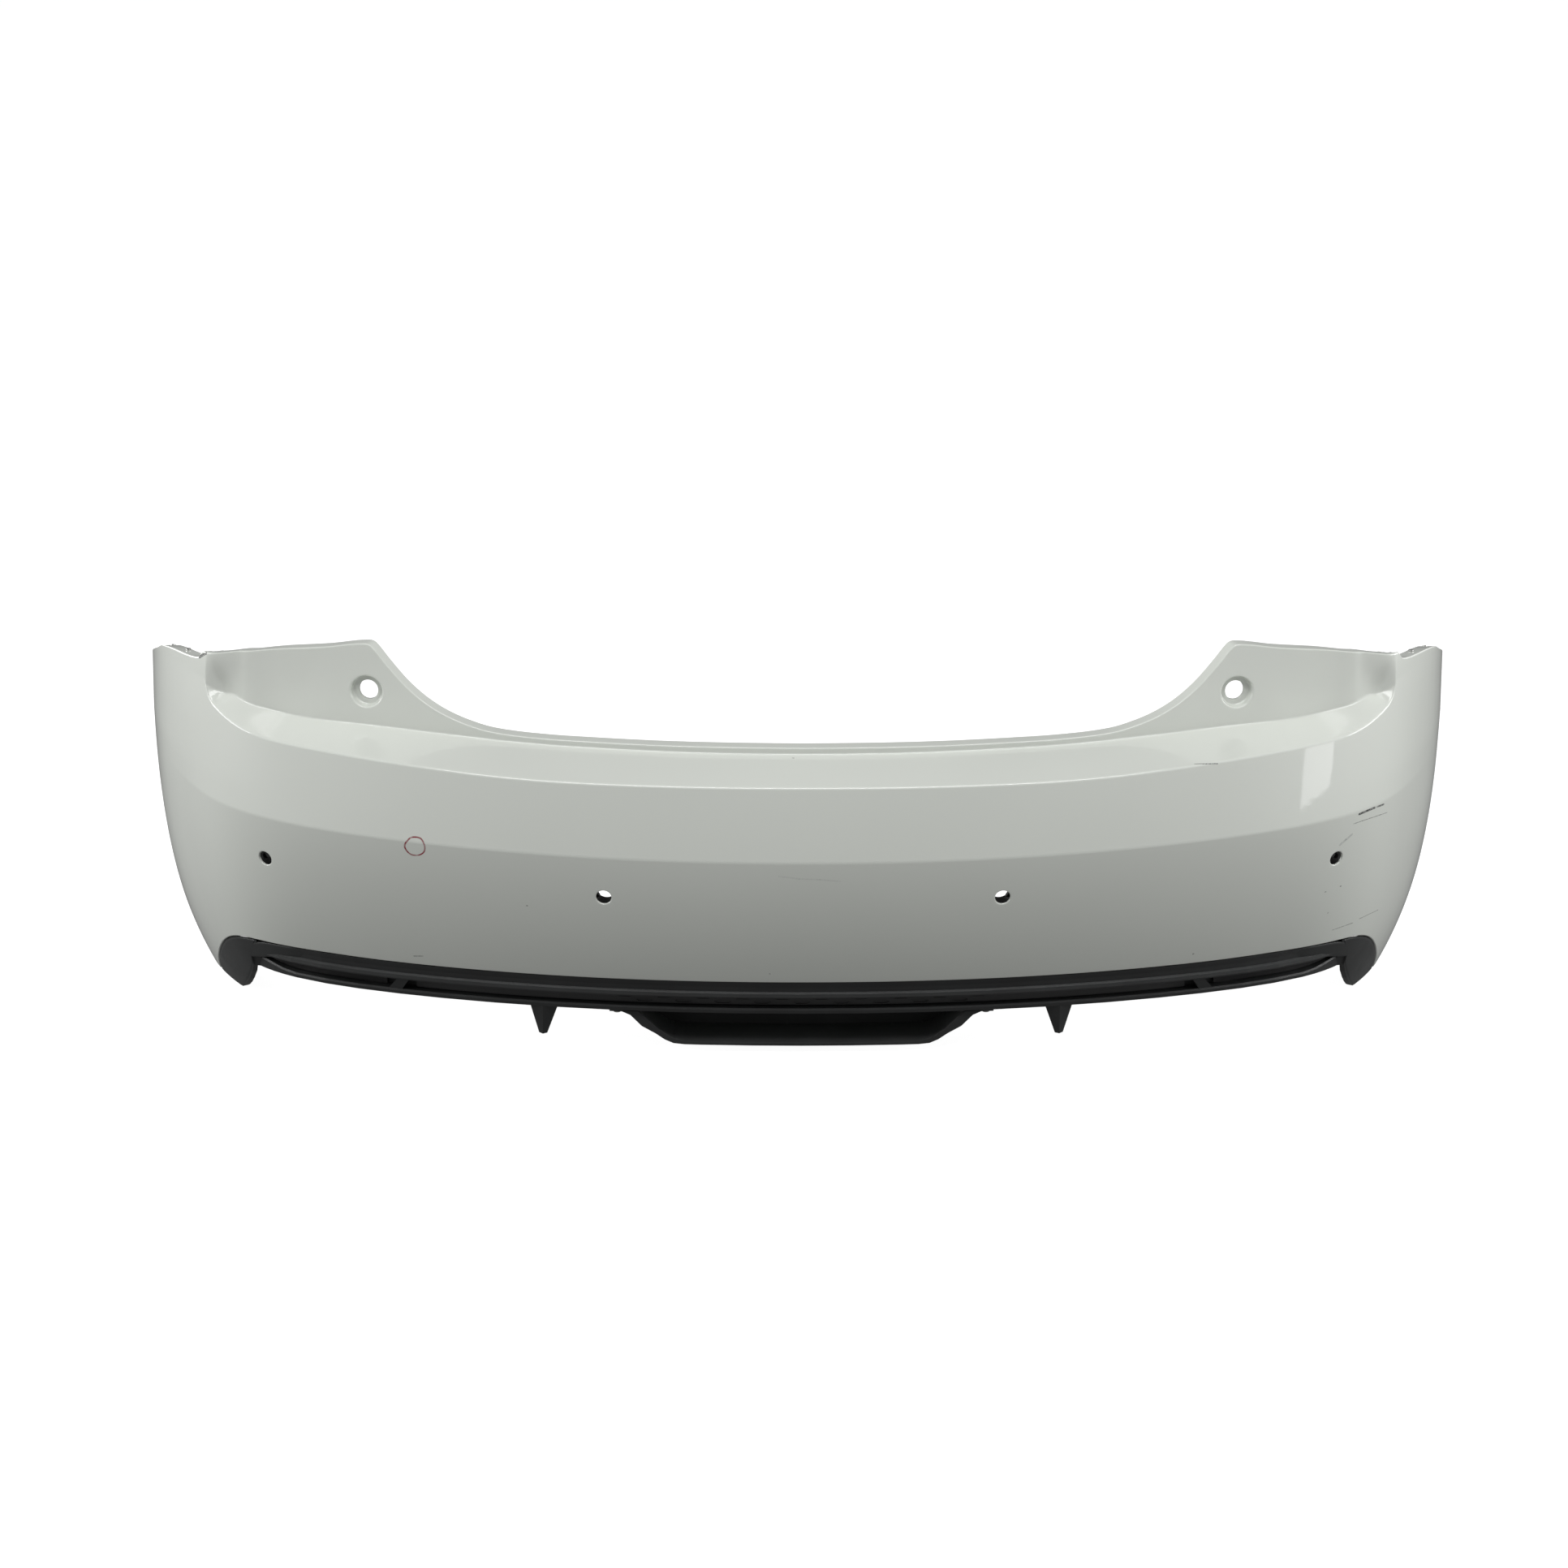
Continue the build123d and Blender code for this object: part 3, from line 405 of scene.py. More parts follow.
def row_points(s, inner):
    """(u, z) of every row for the columns' s, given for every row as an array s[row, col]."""
    t = WALL if inner else 0.0
    tf = 2.8 if inner else 0.0
    rb, rt = (0.6, 0.6) if inner else (1.6, 2.0)
    d2, d1, d0 = (2.6, 0.8, 4.0) if inner else (2.6, 3.0, 2.6)
    U, Z = np.zeros_like(s), np.zeros_like(s)
    for r, (kind, f) in enumerate(ROWS):
        ss = s[r]
        zb, zt, zm = z_low(ss) + tf, z_top(ss), z_mid(ss)
        z1 = z_step(ss)
        u1 = skin(ss, z1) + t
        u0, z0 = step_back(ss)
        u0 = u0 + t
        z1, z0 = z1 - t, z0 - t
        ztt = zt - tf
        # keep the landmarks in order where the seam cuts below the step
        z1c, z0c = np.minimum(z1, ztt), np.minimum(z0, ztt)
        length = np.hypot(u0 - u1, z0 - z1)
        e1 = np.minimum(d1, 0.4 * length)
        e0 = np.minimum(d0, 0.4 * length)
        cu, cz = (u0 - u1) / length, (z0 - z1) / length
        live = (z1 < ztt - 0.01)
        e1b = np.minimum(e1, 0.3 * (z1c - zm))
        dw = np.minimum(d0, 0.3 * np.maximum(ztt - z0c, 0))
        rtt = np.minimum(rt, 0.3 * np.maximum(ztt - z0c, 0) + np.where(live, 0.0, rt))
        flat = skin

        def at(z):
            """Point of the section at height z, clamped to the top edge."""
            z = np.minimum(z, ztt)
            return u_at(ss, z + (t if False else 0)) + t, z

        if kind == "A":
            z = zb + rb + f * (zm - d2 - zb - rb)
            u = flat(ss, z) + t
        elif kind == "c2":
            za, zc = zm - d2, zm + d2
            ua, um, uc = flat(ss, za) + t, flat(ss, zm) + t, flat(ss, zc) + t
            u, z = bez(ua, um, uc, f), bez(za, zm, zc, f)
        elif kind == "B":
            ze = np.where(live, z1c - e1b, ztt - rt)
            z = zm + d2 + f * (ze - zm - d2)
            u = flat(ss, z) + t
        elif kind == "c1":
            za = np.where(live, z1c - e1b, ztt - rt)
            ua = flat(ss, za) + t
            ub = np.where(live, u1 + cu * e1, ua)
            zb_ = np.where(live, z1 + cz * e1, za)
            um, zm_ = np.where(live, u1, ua), np.where(live, z1, za)
            u, z = bez(ua, um, ub, f), bez(za, zm_, zb_, f)
        elif kind == "C":
            q = e1 + f * (length - e1 - e0)
            za = ztt - rt
            u = np.where(live, u1 + cu * q, flat(ss, za) + t)
            z = np.where(live, z1 + cz * q, za)
        elif kind == "c0":
            za = ztt - rt
            a_u, a_z = u1 + cu * (length - e0), z1 + cz * (length - e0)
            b_z = z0c + dw
            b_u = lean(ss, b_z, u0 - t + 0.05 * (b_z - z0), z0) + t
            u, z = bez(a_u, u0, b_u, f), bez(a_z, z0, b_z, f)
            u = np.where(live, u, flat(ss, za) + t)
            z = np.where(live, z, za)
        elif kind == "D":
            za = ztt - rt
            z = z0c + dw + f * (ztt - rtt - z0c - dw)
            u = lean(ss, z, u0 - t + 0.05 * (z - z0), z0) + t
            u = np.where(live, u, flat(ss, za) + t)
            z = np.where(live, z, za)
        if kind in ("ct", "ft"):
            ue = np.where(live, lean(ss, ztt, u0 - t + 0.05 * (ztt - z0), z0) + t, flat(ss, ztt) + t)
            r_ = np.where(live, rtt, rt)
            za = ztt - r_
            ua = np.where(live, lean(ss, za, u0 - t + 0.05 * (za - z0), z0) + t, flat(ss, za) + t)
            if kind == "ct":
                u, z = bez(ua, ue, ue + r_, f), bez(za, ztt, ztt, f)
            else:
                u = ue + r_ + f * (FLANGE - t - r_)
                z = ztt
        if kind in ("cb", "fb"):
            ue = flat(ss, zb) + t
            ua = flat(ss, zb + rb) + t
            if kind == "cb":
                u, z = bez(ua, ue, ue + rb, 1 - f), bez(zb + rb, zb, zb, 1 - f)
            else:
                u = ue + rb + f * (FLANGE - t - rb)
                z = zb + 0 * u
        if kind == "ft":
            # the flange follows the seam's slope where it runs along the quarter panel
            pe = pos(ss, np.where(live, lean(ss, ztt, u0 - t + 0.05 * (ztt - z0), z0) + t, flat(ss, ztt) + t), ztt)
            pf = pos(ss, u, ztt)
            on = pe[:, 0] > 744
            dz = seam_z(pf[:, 1] + ORG_Y) - seam_z(pe[:, 1] + ORG_Y)
            z = np.where(on, ztt + dz, ztt)
        U[r], Z[r] = u, z
    # after collapsing, no row may stand above the top edge
    return U, Z


def cover_grid(inner):
    nr = len(ROWS)
    t = WALL if inner else 0.0
    # columns of fixed s
    s = np.repeat(COLS[None, :], nr, 0)
    U, Z = row_points(s, inner)
    P = pos(s, U, Z)
    # the block that ends on the wheel arch
    s2 = S_A + (1050 - S_A) * np.repeat(LAST[None, :], nr, 0)
    for _ in range(14):
        U2, Z2 = row_points(s2, inner)
        s2 = S_A + (s_arch(Z2) - t - (0 if inner else 1.6) - S_A) * LAST[None, :]
    U2, Z2 = row_points(s2, inner)
    P2 = pos(s2, U2, Z2)
    # rolled edge and return flange along the arch
    rr = 0.6 if inner else 1.6
    send, ue, ze = s2[:, -1], U2[:, -1], Z2[:, -1]
    k_row = np.zeros(nr)
    base = ue.copy()
    top_first = next(i for i, r in enumerate(ROWS) if r[0] == "ct")
    low_last = max(i for i, r in enumerate(ROWS) if r[0] == "cb")
    base[top_first:] = ue[top_first - 1]
    base[:low_last + 1] = ue[low_last + 1]
    k_row = ue - base
    cols = []
    for w in W5:
        ds = bez(0, rr, rr, w)
        k = bez(0, 0, rr, w)
        cols.append(pos(send + ds, base + np.maximum(k_row, k), ze))
    for f in FL:
        k = rr + f * (FLANGE - t - rr)
        cols.append(pos(send + rr, base + np.maximum(k_row, k), ze))
    P3 = np.stack(cols, 1)
    return np.concatenate([P, P2, P3], 1), s, U, Z


def metric(fn, s, z):
    e = 0.5
    ps = (fn(s + e, z) - fn(s - e, z)) / (2 * e)
    pz = (fn(s, z + e) - fn(s, z - e)) / (2 * e)
    n = np.cross(ps, pz)
    n /= np.linalg.norm(n)
    if n[1] > 0:
        n = -n
    return ps, pz, n


def hole_patch(sheet, idx, S, Z, r0, r1, c0, c1, centre, fn, rings, inner, mids=4):
    """Square block to circle: rings of (radius, depth or None when it lies on the surface)."""
    sc, zc = centre
    loop = ([(r0, c) for c in range(c0, c1)] + [(r, c1) for r in range(r0, r1)]
            + [(r1, c) for c in range(c1, c0, -1)] + [(r, c0) for r in range(r1, r0, -1)])
    ring0 = np.array([idx[r, c] for r, c in loop])
    sl = np.array([S[r, c] for r, c in loop])
    zl = np.array([Z[r, c] for r, c in loop])
    ps, pz, n = metric(fn, sc, zc)
    ls, lz = np.linalg.norm(ps), np.linalg.norm(pz)
    ang = np.arctan2((zl - zc) * lz, (sl - sc) * ls)
    e1 = ps / ls
    e2 = pz - e1 * (pz @ e1)
    e2 /= np.linalg.norm(e2)
    p0 = fn(sc, zc)
    last = ring0
    r_first = rings[0][0]
    cs, cz = sc + r_first * np.cos(ang) / ls, zc + r_first * np.sin(ang) / lz
    stack = []
    for k in range(1, mids):
        w = k / mids
        stack.append(np.array([fn(a, b) for a, b in zip(sl + (cs - sl) * w, zl + (cz - zl) * w)]))
    on = np.array([fn(a, b) for a, b in zip(cs, cz)])
    for rad, depth in rings:
        if depth is None:
            a, b = sc + rad * np.cos(ang) / ls, zc + rad * np.sin(ang) / lz
            stack.append(np.array([fn(x, y) for x, y in zip(a, b)]))
        else:
            stack.append(p0 + rad * (np.cos(ang)[:, None] * e1 + np.sin(ang)[:, None] * e2) - n * depth)
    for pts in stack:
        new = sheet.add(pts)
        sheet.strip(last, new, 1 if inner else 0, flip=inner, closed=True)
        last = new
    return last


def make_cover():
    sh = Sheet()
    ends = []
    ci = {k: (int(np.argmin(abs(COLS - a))), int(np.argmin(abs(COLS - b)))) for k, (a, b) in
          {"inner": (232, 262), "cup": (552.5, 608.5), "outer": (681.8, 711.8)}.items()}
    a0 = next(i for i, r in enumerate(ROWS) if r[0] == "A")
    d0 = next(i for i, r in enumerate(ROWS) if r[0] == "D")
    ri = {"inner": (a0 + 18, a0 + 28), "outer": (a0 + 18, a0 + 28), "cup": (d0 + 3, d0 + 19)}
    for inner in (False, True):
        P, S, U, Z = cover_grid(inner)
        nr, nc = P.shape[:2]
        idx = sh.add(P.reshape(-1, 3)).reshape(nr, nc)
        keep = np.ones((nr - 1, nc - 1), bool)
        for k in ci:
            keep[ri[k][0]:ri[k][1], ci[k][0]:ci[k][1]] = False
        sh.quads(idx, 1 if inner else 0, flip=inner, keep=keep)
        t = WALL if inner else 0.0
        on_skin = lambda s, z: pos(s, skin(s, z) + t, z)
        on_wall = lambda s, z: pos(s, u_wall(s, z) + t, z)
        holes = []
        for k in ("inner", "outer"):
            rings = ([(9.5, None), (9.5, WALL), (9.5, WALL)] if inner else [(10.6, None), (9.85, 0.28), (9.5, 1.0)])
            if inner:
                rings = [(9.5, None)] * 1 + [(9.5, None)] * 2
            holes.append(hole_patch(sh, idx, S, Z, *ri[k], *ci[k], BLOCKS[k], on_skin, rings, inner))
        if inner:
            rings = [(23.2, None), (22.6, WALL + 0.6), (22.5, WALL + 2), (22.5, 9.0), (22.5, 11.5), (22.3, 12.6),
                     (21.5, 13.0), (18.0, 13.0), (14.0, 13.0), (12.5, 13.0)]
        else:
            rings = [(22.0, None), (20.9, 0.3), (20.2, 1.1), (19.8, 2.4), (19.3, 7.0), (19.0, 8.4), (18.2, 9.5),
                     (17.0, 10.0), (13.4, 10.0), (12.5, 10.6)]
        holes.append(hole_patch(sh, idx, S, Z, *ri["cup"], *ci["cup"], BLOCKS["cup"], on_wall, rings, inner))
        ends.append((idx, holes))
    (io, ho), (ii, hi) = ends
    sh.strip(io[0], ii[0], 2, flip=True)
    sh.strip(io[-1], ii[-1], 2)
    sh.strip(io[:, -1], ii[:, -1], 2, flip=True)
    for a, b in zip(ho, hi):
        sh.strip(a, b, 3, closed=True)
    sh.mirror()
    return sh.build("cover_skin")


cover = make_cover()
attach(cover, "root")
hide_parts("bumper_cover")


# ---------------------------------------------------------------------------
# Diffuser: the panel as built, with its two ends finished by smooth pieces that
# run the band into the end cap and give the cap's face and fin their full shape
# ---------------------------------------------------------------------------
def solid_grid(A, B):
    """Closed solid between two grids of points of the same shape."""
    nr, nc = A.shape[:2]
    v = np.concatenate([A.reshape(-1, 3), B.reshape(-1, 3)])
    ia = np.arange(nr * nc).reshape(nr, nc)
    ib = ia + nr * nc
    f = []
    for i in range(nr - 1):
        for j in range(nc - 1):
            f.append((ia[i, j], ia[i, j + 1], ia[i + 1, j + 1], ia[i + 1, j]))
            f.append((ib[i, j], ib[i + 1, j], ib[i + 1, j + 1], ib[i, j + 1]))
    loop = ([(0, j) for j in range(nc - 1)] + [(i, nc - 1) for i in range(nr - 1)]
            + [(nr - 1, j) for j in range(nc - 1, 0, -1)] + [(i, 0) for i in range(nr - 1, 0, -1)])
    for (a, b), (c, d) in zip(loop, loop[1:] + loop[:1]):
        f.append((ia[a, b], ib[a, b], ib[c, d], ia[c, d]))
    return v, [tuple(int(q) for q in r) for r in f]


CAP_XZ = [(703, -178.2), (712, -179.2), (727.2, -183.2), (738.8, -190.2), (748.8, -200.8), (757.8, -216.9),
          (765.6, -238.4), (770.6, -262), (771.4, -278.9)]
FIN_SZ = [(775, -203), (775.5, -209), (778.5, -222), (791, -237), (809, -252), (826, -264), (842, -273.5),
          (853, -278.6)]


def along(pts, n):
    p = np.asarray(pts, float)
    d = np.r_[0, np.cumsum(np.hypot(*np.diff(p, axis=0).T))]
    t = np.linspace(0, d[-1], n)
    return np.stack([np.interp(t, d, p[:, k]) for k in (0, 1)], -1)


def s_for_x(x, z, off):
    """Station where the outer surface, set in by off, has the given x."""
    s = np.interp(x, XG, SG)
    for _ in range(12):
        u = skin(s, z) + off
        s = s + (x - pos(s, u, z)[..., 0]) / np.maximum(np.cos(np.interp(s, SG, AG)), 0.25)
    return s


def end_solids():
    out = []
    ss = np.linspace(640, 781, 74)
    zb_ = np.interp(ss, [640, 690, 737, 775, 781], [-193.0, -195.5, -201.0, -209.5, -212.0])
    xx = np.interp(ss, SG, XG)
    za_ = np.minimum(-176.6, np.interp(xx, _bx, _bz) - 1.4)
    f = np.linspace(0, 1, 17)[:, None]
    z = za_ + (zb_ - za_) * f
    s2 = ss + 0 * z
    fade = 2.4 * (1 - smooth(640, 700, s2))
    roll = 1.6 * np.clip((f - 0.88) / 0.12, 0, 1) ** 2 + 1.0 * np.clip((0.10 - f) / 0.10, 0, 1) ** 2
    out.append(solid_grid(pos(s2, skin(s2, z) + 0.53 + fade + roll, z), pos(s2, 47.0 + 0 * z, z)))
    # fin edge
    es = along(FIN_SZ, 60)
    gs = along([(800, -203), (803, -209), (812, -225), (822, -239), (838, -253), (852, -264.5), (862, -273.5),
                (868, -278.8)], 60)
    w = np.linspace(0, 1, 14)[:, None, None]
    q = es * (1 - w) + gs * w
    s2, z = q[..., 0], q[..., 1]
    out.append(solid_grid(pos(s2, skin(s2, z) + 1.0, z), pos(s2, skin(s2, z) + 8.5, z)))
    # the cap's face, from its outline to the fin's edge
    left = along(CAP_XZ, 70)
    e = along(FIN_SZ, 70)
    right = np.stack([pos(e[:, 0], skin(e[:, 0], e[:, 1]) + 0.5, e[:, 1])[:, 0], e[:, 1]], -1)
    w = np.linspace(0, 1, 41)[:, None, None]
    q = left * (1 - w) + right * w
    x, z = q[..., 0], q[..., 1]
    w = w[..., 0] + 0 * x
    s2 = s_for_x(x, z, 0.5)
    roll = 2.6 * np.clip((w - 0.92) / 0.08, 0, 1) ** 2 + 1.2 * np.clip((0.06 - w) / 0.06, 0, 1) ** 2
    out.append(solid_grid(pos(s2, skin(s2, z) + 0.5 + roll, z), pos(s2, skin(s2, z) + 3.4, z)))
    # the slat's end runs into the fin
    s2, z = np.meshgrid(np.linspace(764, 784, 8), np.linspace(-209, -223.5, 6))
    lead = (784 - s2) / 20
    out.append(solid_grid(pos(s2, skin(s2, z) + 1.2 + 6.5 * lead, z), pos(s2, 54.0 + 0 * z, z)))
    return out


def make_diffuser(src):
    import bmesh
    bm = bmesh.new()
    bm.from_mesh(src.data)
    bm.transform(src.matrix_world)
    me = bpy.data.meshes.new("panel")
    bm.to_mesh(me)
    bm.free()
    v = [np.array([q.co[:] for q in me.vertices])]
    f = [tuple(q.vertices) for q in me.polygons]
    for sv, sf in end_solids():
        # outward-facing: the first grid is the outer one
        p = sv[list(sf[0])]
        n = np.cross(p[1] - p[0], p[2] - p[0])
        out_ok = n[1] < 0
        for sg in (1, -1):
            k = sum(len(q) for q in v)
            v.append(sv / 1000.0 * np.array([sg, 1, 1]))
            turn = (sg > 0) == out_ok
            f += [tuple(w + k for w in (r if turn else r[::-1])) for r in sf]
    bpy.data.meshes.remove(me)
    me = bpy.data.meshes.new("diffuser_skin")
    me.from_pydata(np.vstack(v).tolist(), [], f)
    me.polygons.foreach_set("use_smooth", np.ones(len(f), bool))
    me.set_sharp_from_angle(angle=math.radians(34))
    me.update()
    o = bpy.data.objects.new("diffuser_skin", me)
    bpy.context.scene.collection.objects.link(o)
    return o


diffuser = make_diffuser(NODES["diffuser_panel"])
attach(diffuser, "root")
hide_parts("diffuser_panel")


# ---------------------------------------------------------------------------
# Materials
# ---------------------------------------------------------------------------
class Mat:
    def __init__(self, name):
        self.m = bpy.data.materials.new(name)
        self.m.use_nodes = True
        self.t = self.m.node_tree
        self.t.nodes.clear()
        self.out = self.t.nodes.new("ShaderNodeOutputMaterial")
        self.b = self.t.nodes.new("ShaderNodeBsdfPrincipled")
        self.t.links.new(self.b.outputs[0], self.out.inputs[0])
        self.co = self.t.nodes.new("ShaderNodeTexCoord").outputs["Object"]

    def node(self, kind, **kw):
        n = self.t.nodes.new(kind)
        for k, v in kw.items():
            setattr(n, k, v)
        return n

    def link(self, a, b):
        self.t.links.new(a, b)

    def set(self, **kw):
        for k, v in kw.items():
            self.b.inputs[k.replace("_", " ")].default_value = v

    def noise(self, scale, detail=2.0, rough=0.5, vec=None):
        n = self.node("ShaderNodeTexNoise")
        n.inputs["Scale"].default_value = scale
        n.inputs["Detail"].default_value = detail
        n.inputs["Roughness"].default_value = rough
        self.link(vec or self.co, n.inputs["Vector"])
        return n.outputs["Fac"]

    def math(self, op, a, b=None, clamp=False):
        n = self.node("ShaderNodeMath", operation=op, use_clamp=clamp)
        for i, v in enumerate((a, b)):
            if v is None:
                continue
            if isinstance(v, (int, float)):
                n.inputs[i].default_value = v
            else:
                self.link(v, n.inputs[i])
        return n.outputs[0]

    def ramp(self, fac, lo, hi, a, b):
        n = self.node("ShaderNodeMapRange", clamp=True)
        self.link(fac, n.inputs[0])
        for i, v in enumerate((lo, hi, a, b)):
            n.inputs[i + 1].default_value = v
        return n.outputs[0]

    def mix(self, fac, a, b):
        n = self.node("ShaderNodeMix", data_type="RGBA")
        if isinstance(fac, (int, float)):
            n.inputs[0].default_value = fac
        else:
            self.link(fac, n.inputs[0])
        for i, v in ((6, a), (7, b)):
            if isinstance(v, tuple):
                n.inputs[i].default_value = (*v, 1) if len(v) == 3 else v
            else:
                self.link(v, n.inputs[i])
        return n.outputs[2]

    def bump(self, height, strength, dist):
        n = self.node("ShaderNodeBump")
        n.inputs["Strength"].default_value = strength
        n.inputs["Distance"].default_value = dist
        self.link(height, n.inputs["Height"])
        return n.outputs[0]

    def vec(self, op, a, b=None):
        n = self.node("ShaderNodeVectorMath", operation=op)
        for i, v in enumerate((a, b)):
            if v is None:
                continue
            if isinstance(v, tuple):
                n.inputs[i].default_value = v
            else:
                self.link(v, n.inputs[i])
        return n

    def segment(self, a, b, width, soft, along=None):
        """1 within width of the segment a-b in object space, 0 outside."""
        ab = tuple(np.subtract(b, a).tolist())
        l2 = float(np.dot(ab, ab)) or 1e-9
        pa = self.vec("SUBTRACT", self.co, tuple(map(float, a))).outputs[0]
        d = self.vec("DOT_PRODUCT", pa, ab).outputs["Value"]
        h = self.math("DIVIDE", d, l2, clamp=True)
        sc = self.node("ShaderNodeVectorMath", operation="SCALE")
        sc.inputs[0].default_value = ab
        self.link(h, sc.inputs["Scale"])
        r = self.vec("SUBTRACT", pa, sc.outputs[0]).outputs[0]
        ln = self.vec("LENGTH", r).outputs["Value"]
        return self.ramp(ln, width, width + soft, 1.0, 0.0)


PAINT = (0.665, 0.690, 0.645)
RING = ((-0.47871, -0.05744, -0.11183), 0.0125)
INK = (0.025, 0.025, 0.027)
GREY = (0.22, 0.23, 0.24)
# worn places on the paint: from, to, half width in mm, strength, colour
MARKS = [
    ((0.4816, -0.0383, -0.0102), (0.4958, -0.0376, -0.0103), 0.35, 0.8, INK),
    ((0.4958, -0.0376, -0.0103), (0.5102, -0.0349, -0.011), 0.35, 0.8, INK),
    ((0.7026, 0.0293, -0.1013), (0.7138, 0.0377, -0.1), 0.9, 1.0, INK),
    ((0.7138, 0.0377, -0.1), (0.7252, 0.0474, -0.0993), 0.9, 1.0, INK),
    ((0.729, 0.0509, -0.0995), (0.7391, 0.0612, -0.1), 0.7, 0.9, INK),
    ((0.6956, 0.0258, -0.1131), (0.7073, 0.0341, -0.1124), 0.15, 0.8, INK),
    ((0.7073, 0.0341, -0.1124), (0.7192, 0.0436, -0.1123), 0.15, 0.8, INK),
    ((0.7192, 0.0436, -0.1123), (0.7329, 0.0562, -0.113), 0.15, 0.8, INK),
    ((0.7329, 0.0562, -0.113), (0.7459, 0.0704, -0.1144), 0.15, 0.8, INK),
    ((0.6786, 0.0189, -0.1389), (0.6866, 0.0228, -0.1333), 0.9, 0.4, GREY),
    ((0.6866, 0.0228, -0.1333), (0.6947, 0.0272, -0.1278), 0.9, 0.4, GREY),
    ((0.6824, 0.0513, -0.2686), (0.6967, 0.0597, -0.2671), 0.15, 0.75, INK),
    ((0.6967, 0.0597, -0.2671), (0.7121, 0.0706, -0.2664), 0.15, 0.75, INK),
    ((0.7216, 0.0776, -0.2636), (0.7361, 0.0914, -0.2631), 0.15, 0.75, INK),
    ((0.7361, 0.0914, -0.2631), (0.7516, 0.1098, -0.2643), 0.15, 0.75, INK),
    ((-0.0301, -0.1094, -0.131), (-0.0053, -0.1091, -0.1343), 0.5, 0.18, GREY),
    ((-0.0053, -0.1091, -0.1343), (0.0195, -0.1089, -0.1355), 0.5, 0.18, GREY),
    ((0.0195, -0.1089, -0.1355), (0.0444, -0.1082, -0.1379), 0.5, 0.18, GREY),
    ((-0.4888, -0.0187, -0.2747), (-0.4772, -0.0222, -0.2732), 0.3, 0.7, INK),
    ((-0.7569, 0.1052, 0.0808), (-0.7474, 0.0956, 0.0887), 1.1, 1.0, INK),
    ((0.7759, 0.1391, 0.0751), (0.782, 0.1543, 0.0735), 1.3, 1.0, INK),
    ((0.6651, 0.0247, -0.2052), (0.6659, 0.0247, -0.2052), 0.5, 0.7, INK),
    ((0.6859, 0.0355, -0.2017), (0.6867, 0.0355, -0.2017), 0.5, 0.7, INK),
    ((0.6724, 0.0372, -0.2392), (0.6732, 0.0372, -0.2392), 0.4, 0.7, INK),
    ((0.4946, -0.0178, -0.2726), (0.4954, -0.0178, -0.2726), 0.5, 0.7, INK),
    ((-0.3414, -0.0736, -0.184), (-0.3406, -0.0736, -0.184), 0.35, 0.7, INK),
    ((-0.0413, -0.0782, -0.2737), (-0.0405, -0.0782, -0.2737), 0.4, 0.7, INK),
    ((-0.0127, -0.0224, -0.0083), (-0.0119, -0.0224, -0.0083), 0.6, 0.7, INK),
]


def paint_material():
    m = Mat("white_paint_finish")
    big = m.noise(2.2, 2.0)
    base = m.mix(m.ramp(big, 0.35, 0.65, 0.0, 1.0), tuple(c * 0.985 for c in PAINT), tuple(c * 1.015 for c in PAINT))
    dust = m.ramp(m.noise(420.0, 3.0, 0.7), 0.70, 0.80, 0.0, 0.25)
    base = m.mix(dust, base, (0.55, 0.56, 0.53))
    # the marks lie on the outer face only
    facing = m.vec("DOT_PRODUCT", m.node("ShaderNodeTexCoord").outputs["Normal"], (0.0, -1.0, 0.0)).outputs["Value"]
    outer = m.ramp(facing, 0.0, 0.08, 0.0, 1.0)
    wear = m.math("MULTIPLY", m.ramp(m.noise(700.0, 2.0), 0.38, 0.55, 0.35, 1.0), outer)
    for a, b, width, strength, col in MARKS:
        k = m.math("MULTIPLY", m.segment(a, b, width * 1.5e-3, 0.5e-3), strength)
        base = m.mix(m.math("MULTIPLY", k, wear), base, col)
    gap = m.vec("SUBTRACT", m.co, RING[0]).outputs[0]
    far = m.vec("LENGTH", gap).outputs["Value"]
    wob = m.math("MULTIPLY", m.math("SUBTRACT", m.noise(45.0, 1.0), 0.5), 0.006)
    off = m.math("ABSOLUTE", m.math("SUBTRACT", m.math("SUBTRACT", far, RING[1]), wob))
    ring = m.math("MULTIPLY", m.ramp(off, 0.0007, 0.0013, 1.0, 0.0), outer)
    base = m.mix(m.math("MULTIPLY", ring, m.ramp(m.noise(220.0, 1.0), 0.3, 0.6, 0.55, 1.0)), base, (0.24, 0.015, 0.03))
    m.link(base, m.b.inputs["Base Color"])
    rough = m.ramp(m.noise(9.0, 3.0), 0.3, 0.7, 0.30, 0.40)
    m.link(rough, m.b.inputs["Roughness"])
    m.set(Specular_IOR_Level=0.30, Coat_Weight=1.0, Coat_Roughness=0.05, Coat_IOR=1.48)
    peel = m.bump(m.noise(260.0, 2.0, 0.45), 0.05, 0.0006)
    m.link(peel, m.b.inputs["Normal"])
    m.link(m.bump(m.noise(140.0, 1.5, 0.4), 0.035, 0.0008), m.b.inputs["Coat Normal"])
    return m


def plastic_material(name, a, b, rough, bump_scale, strength=0.35, spec=0.5):
    m = Mat(name)
    v = m.ramp(m.noise(14.0, 3.0), 0.3, 0.7, 0.0, 1.0)
    m.link(m.mix(v, a, b), m.b.inputs["Base Color"])
    m.link(m.ramp(m.noise(30.0, 3.0), 0.3, 0.7, rough - 0.05, rough + 0.06), m.b.inputs["Roughness"])
    m.set(Specular_IOR_Level=spec)
    h = m.noise(bump_scale, 3.0, 0.6)
    m.link(m.bump(h, strength, 0.0004), m.b.inputs["Normal"])
    return m


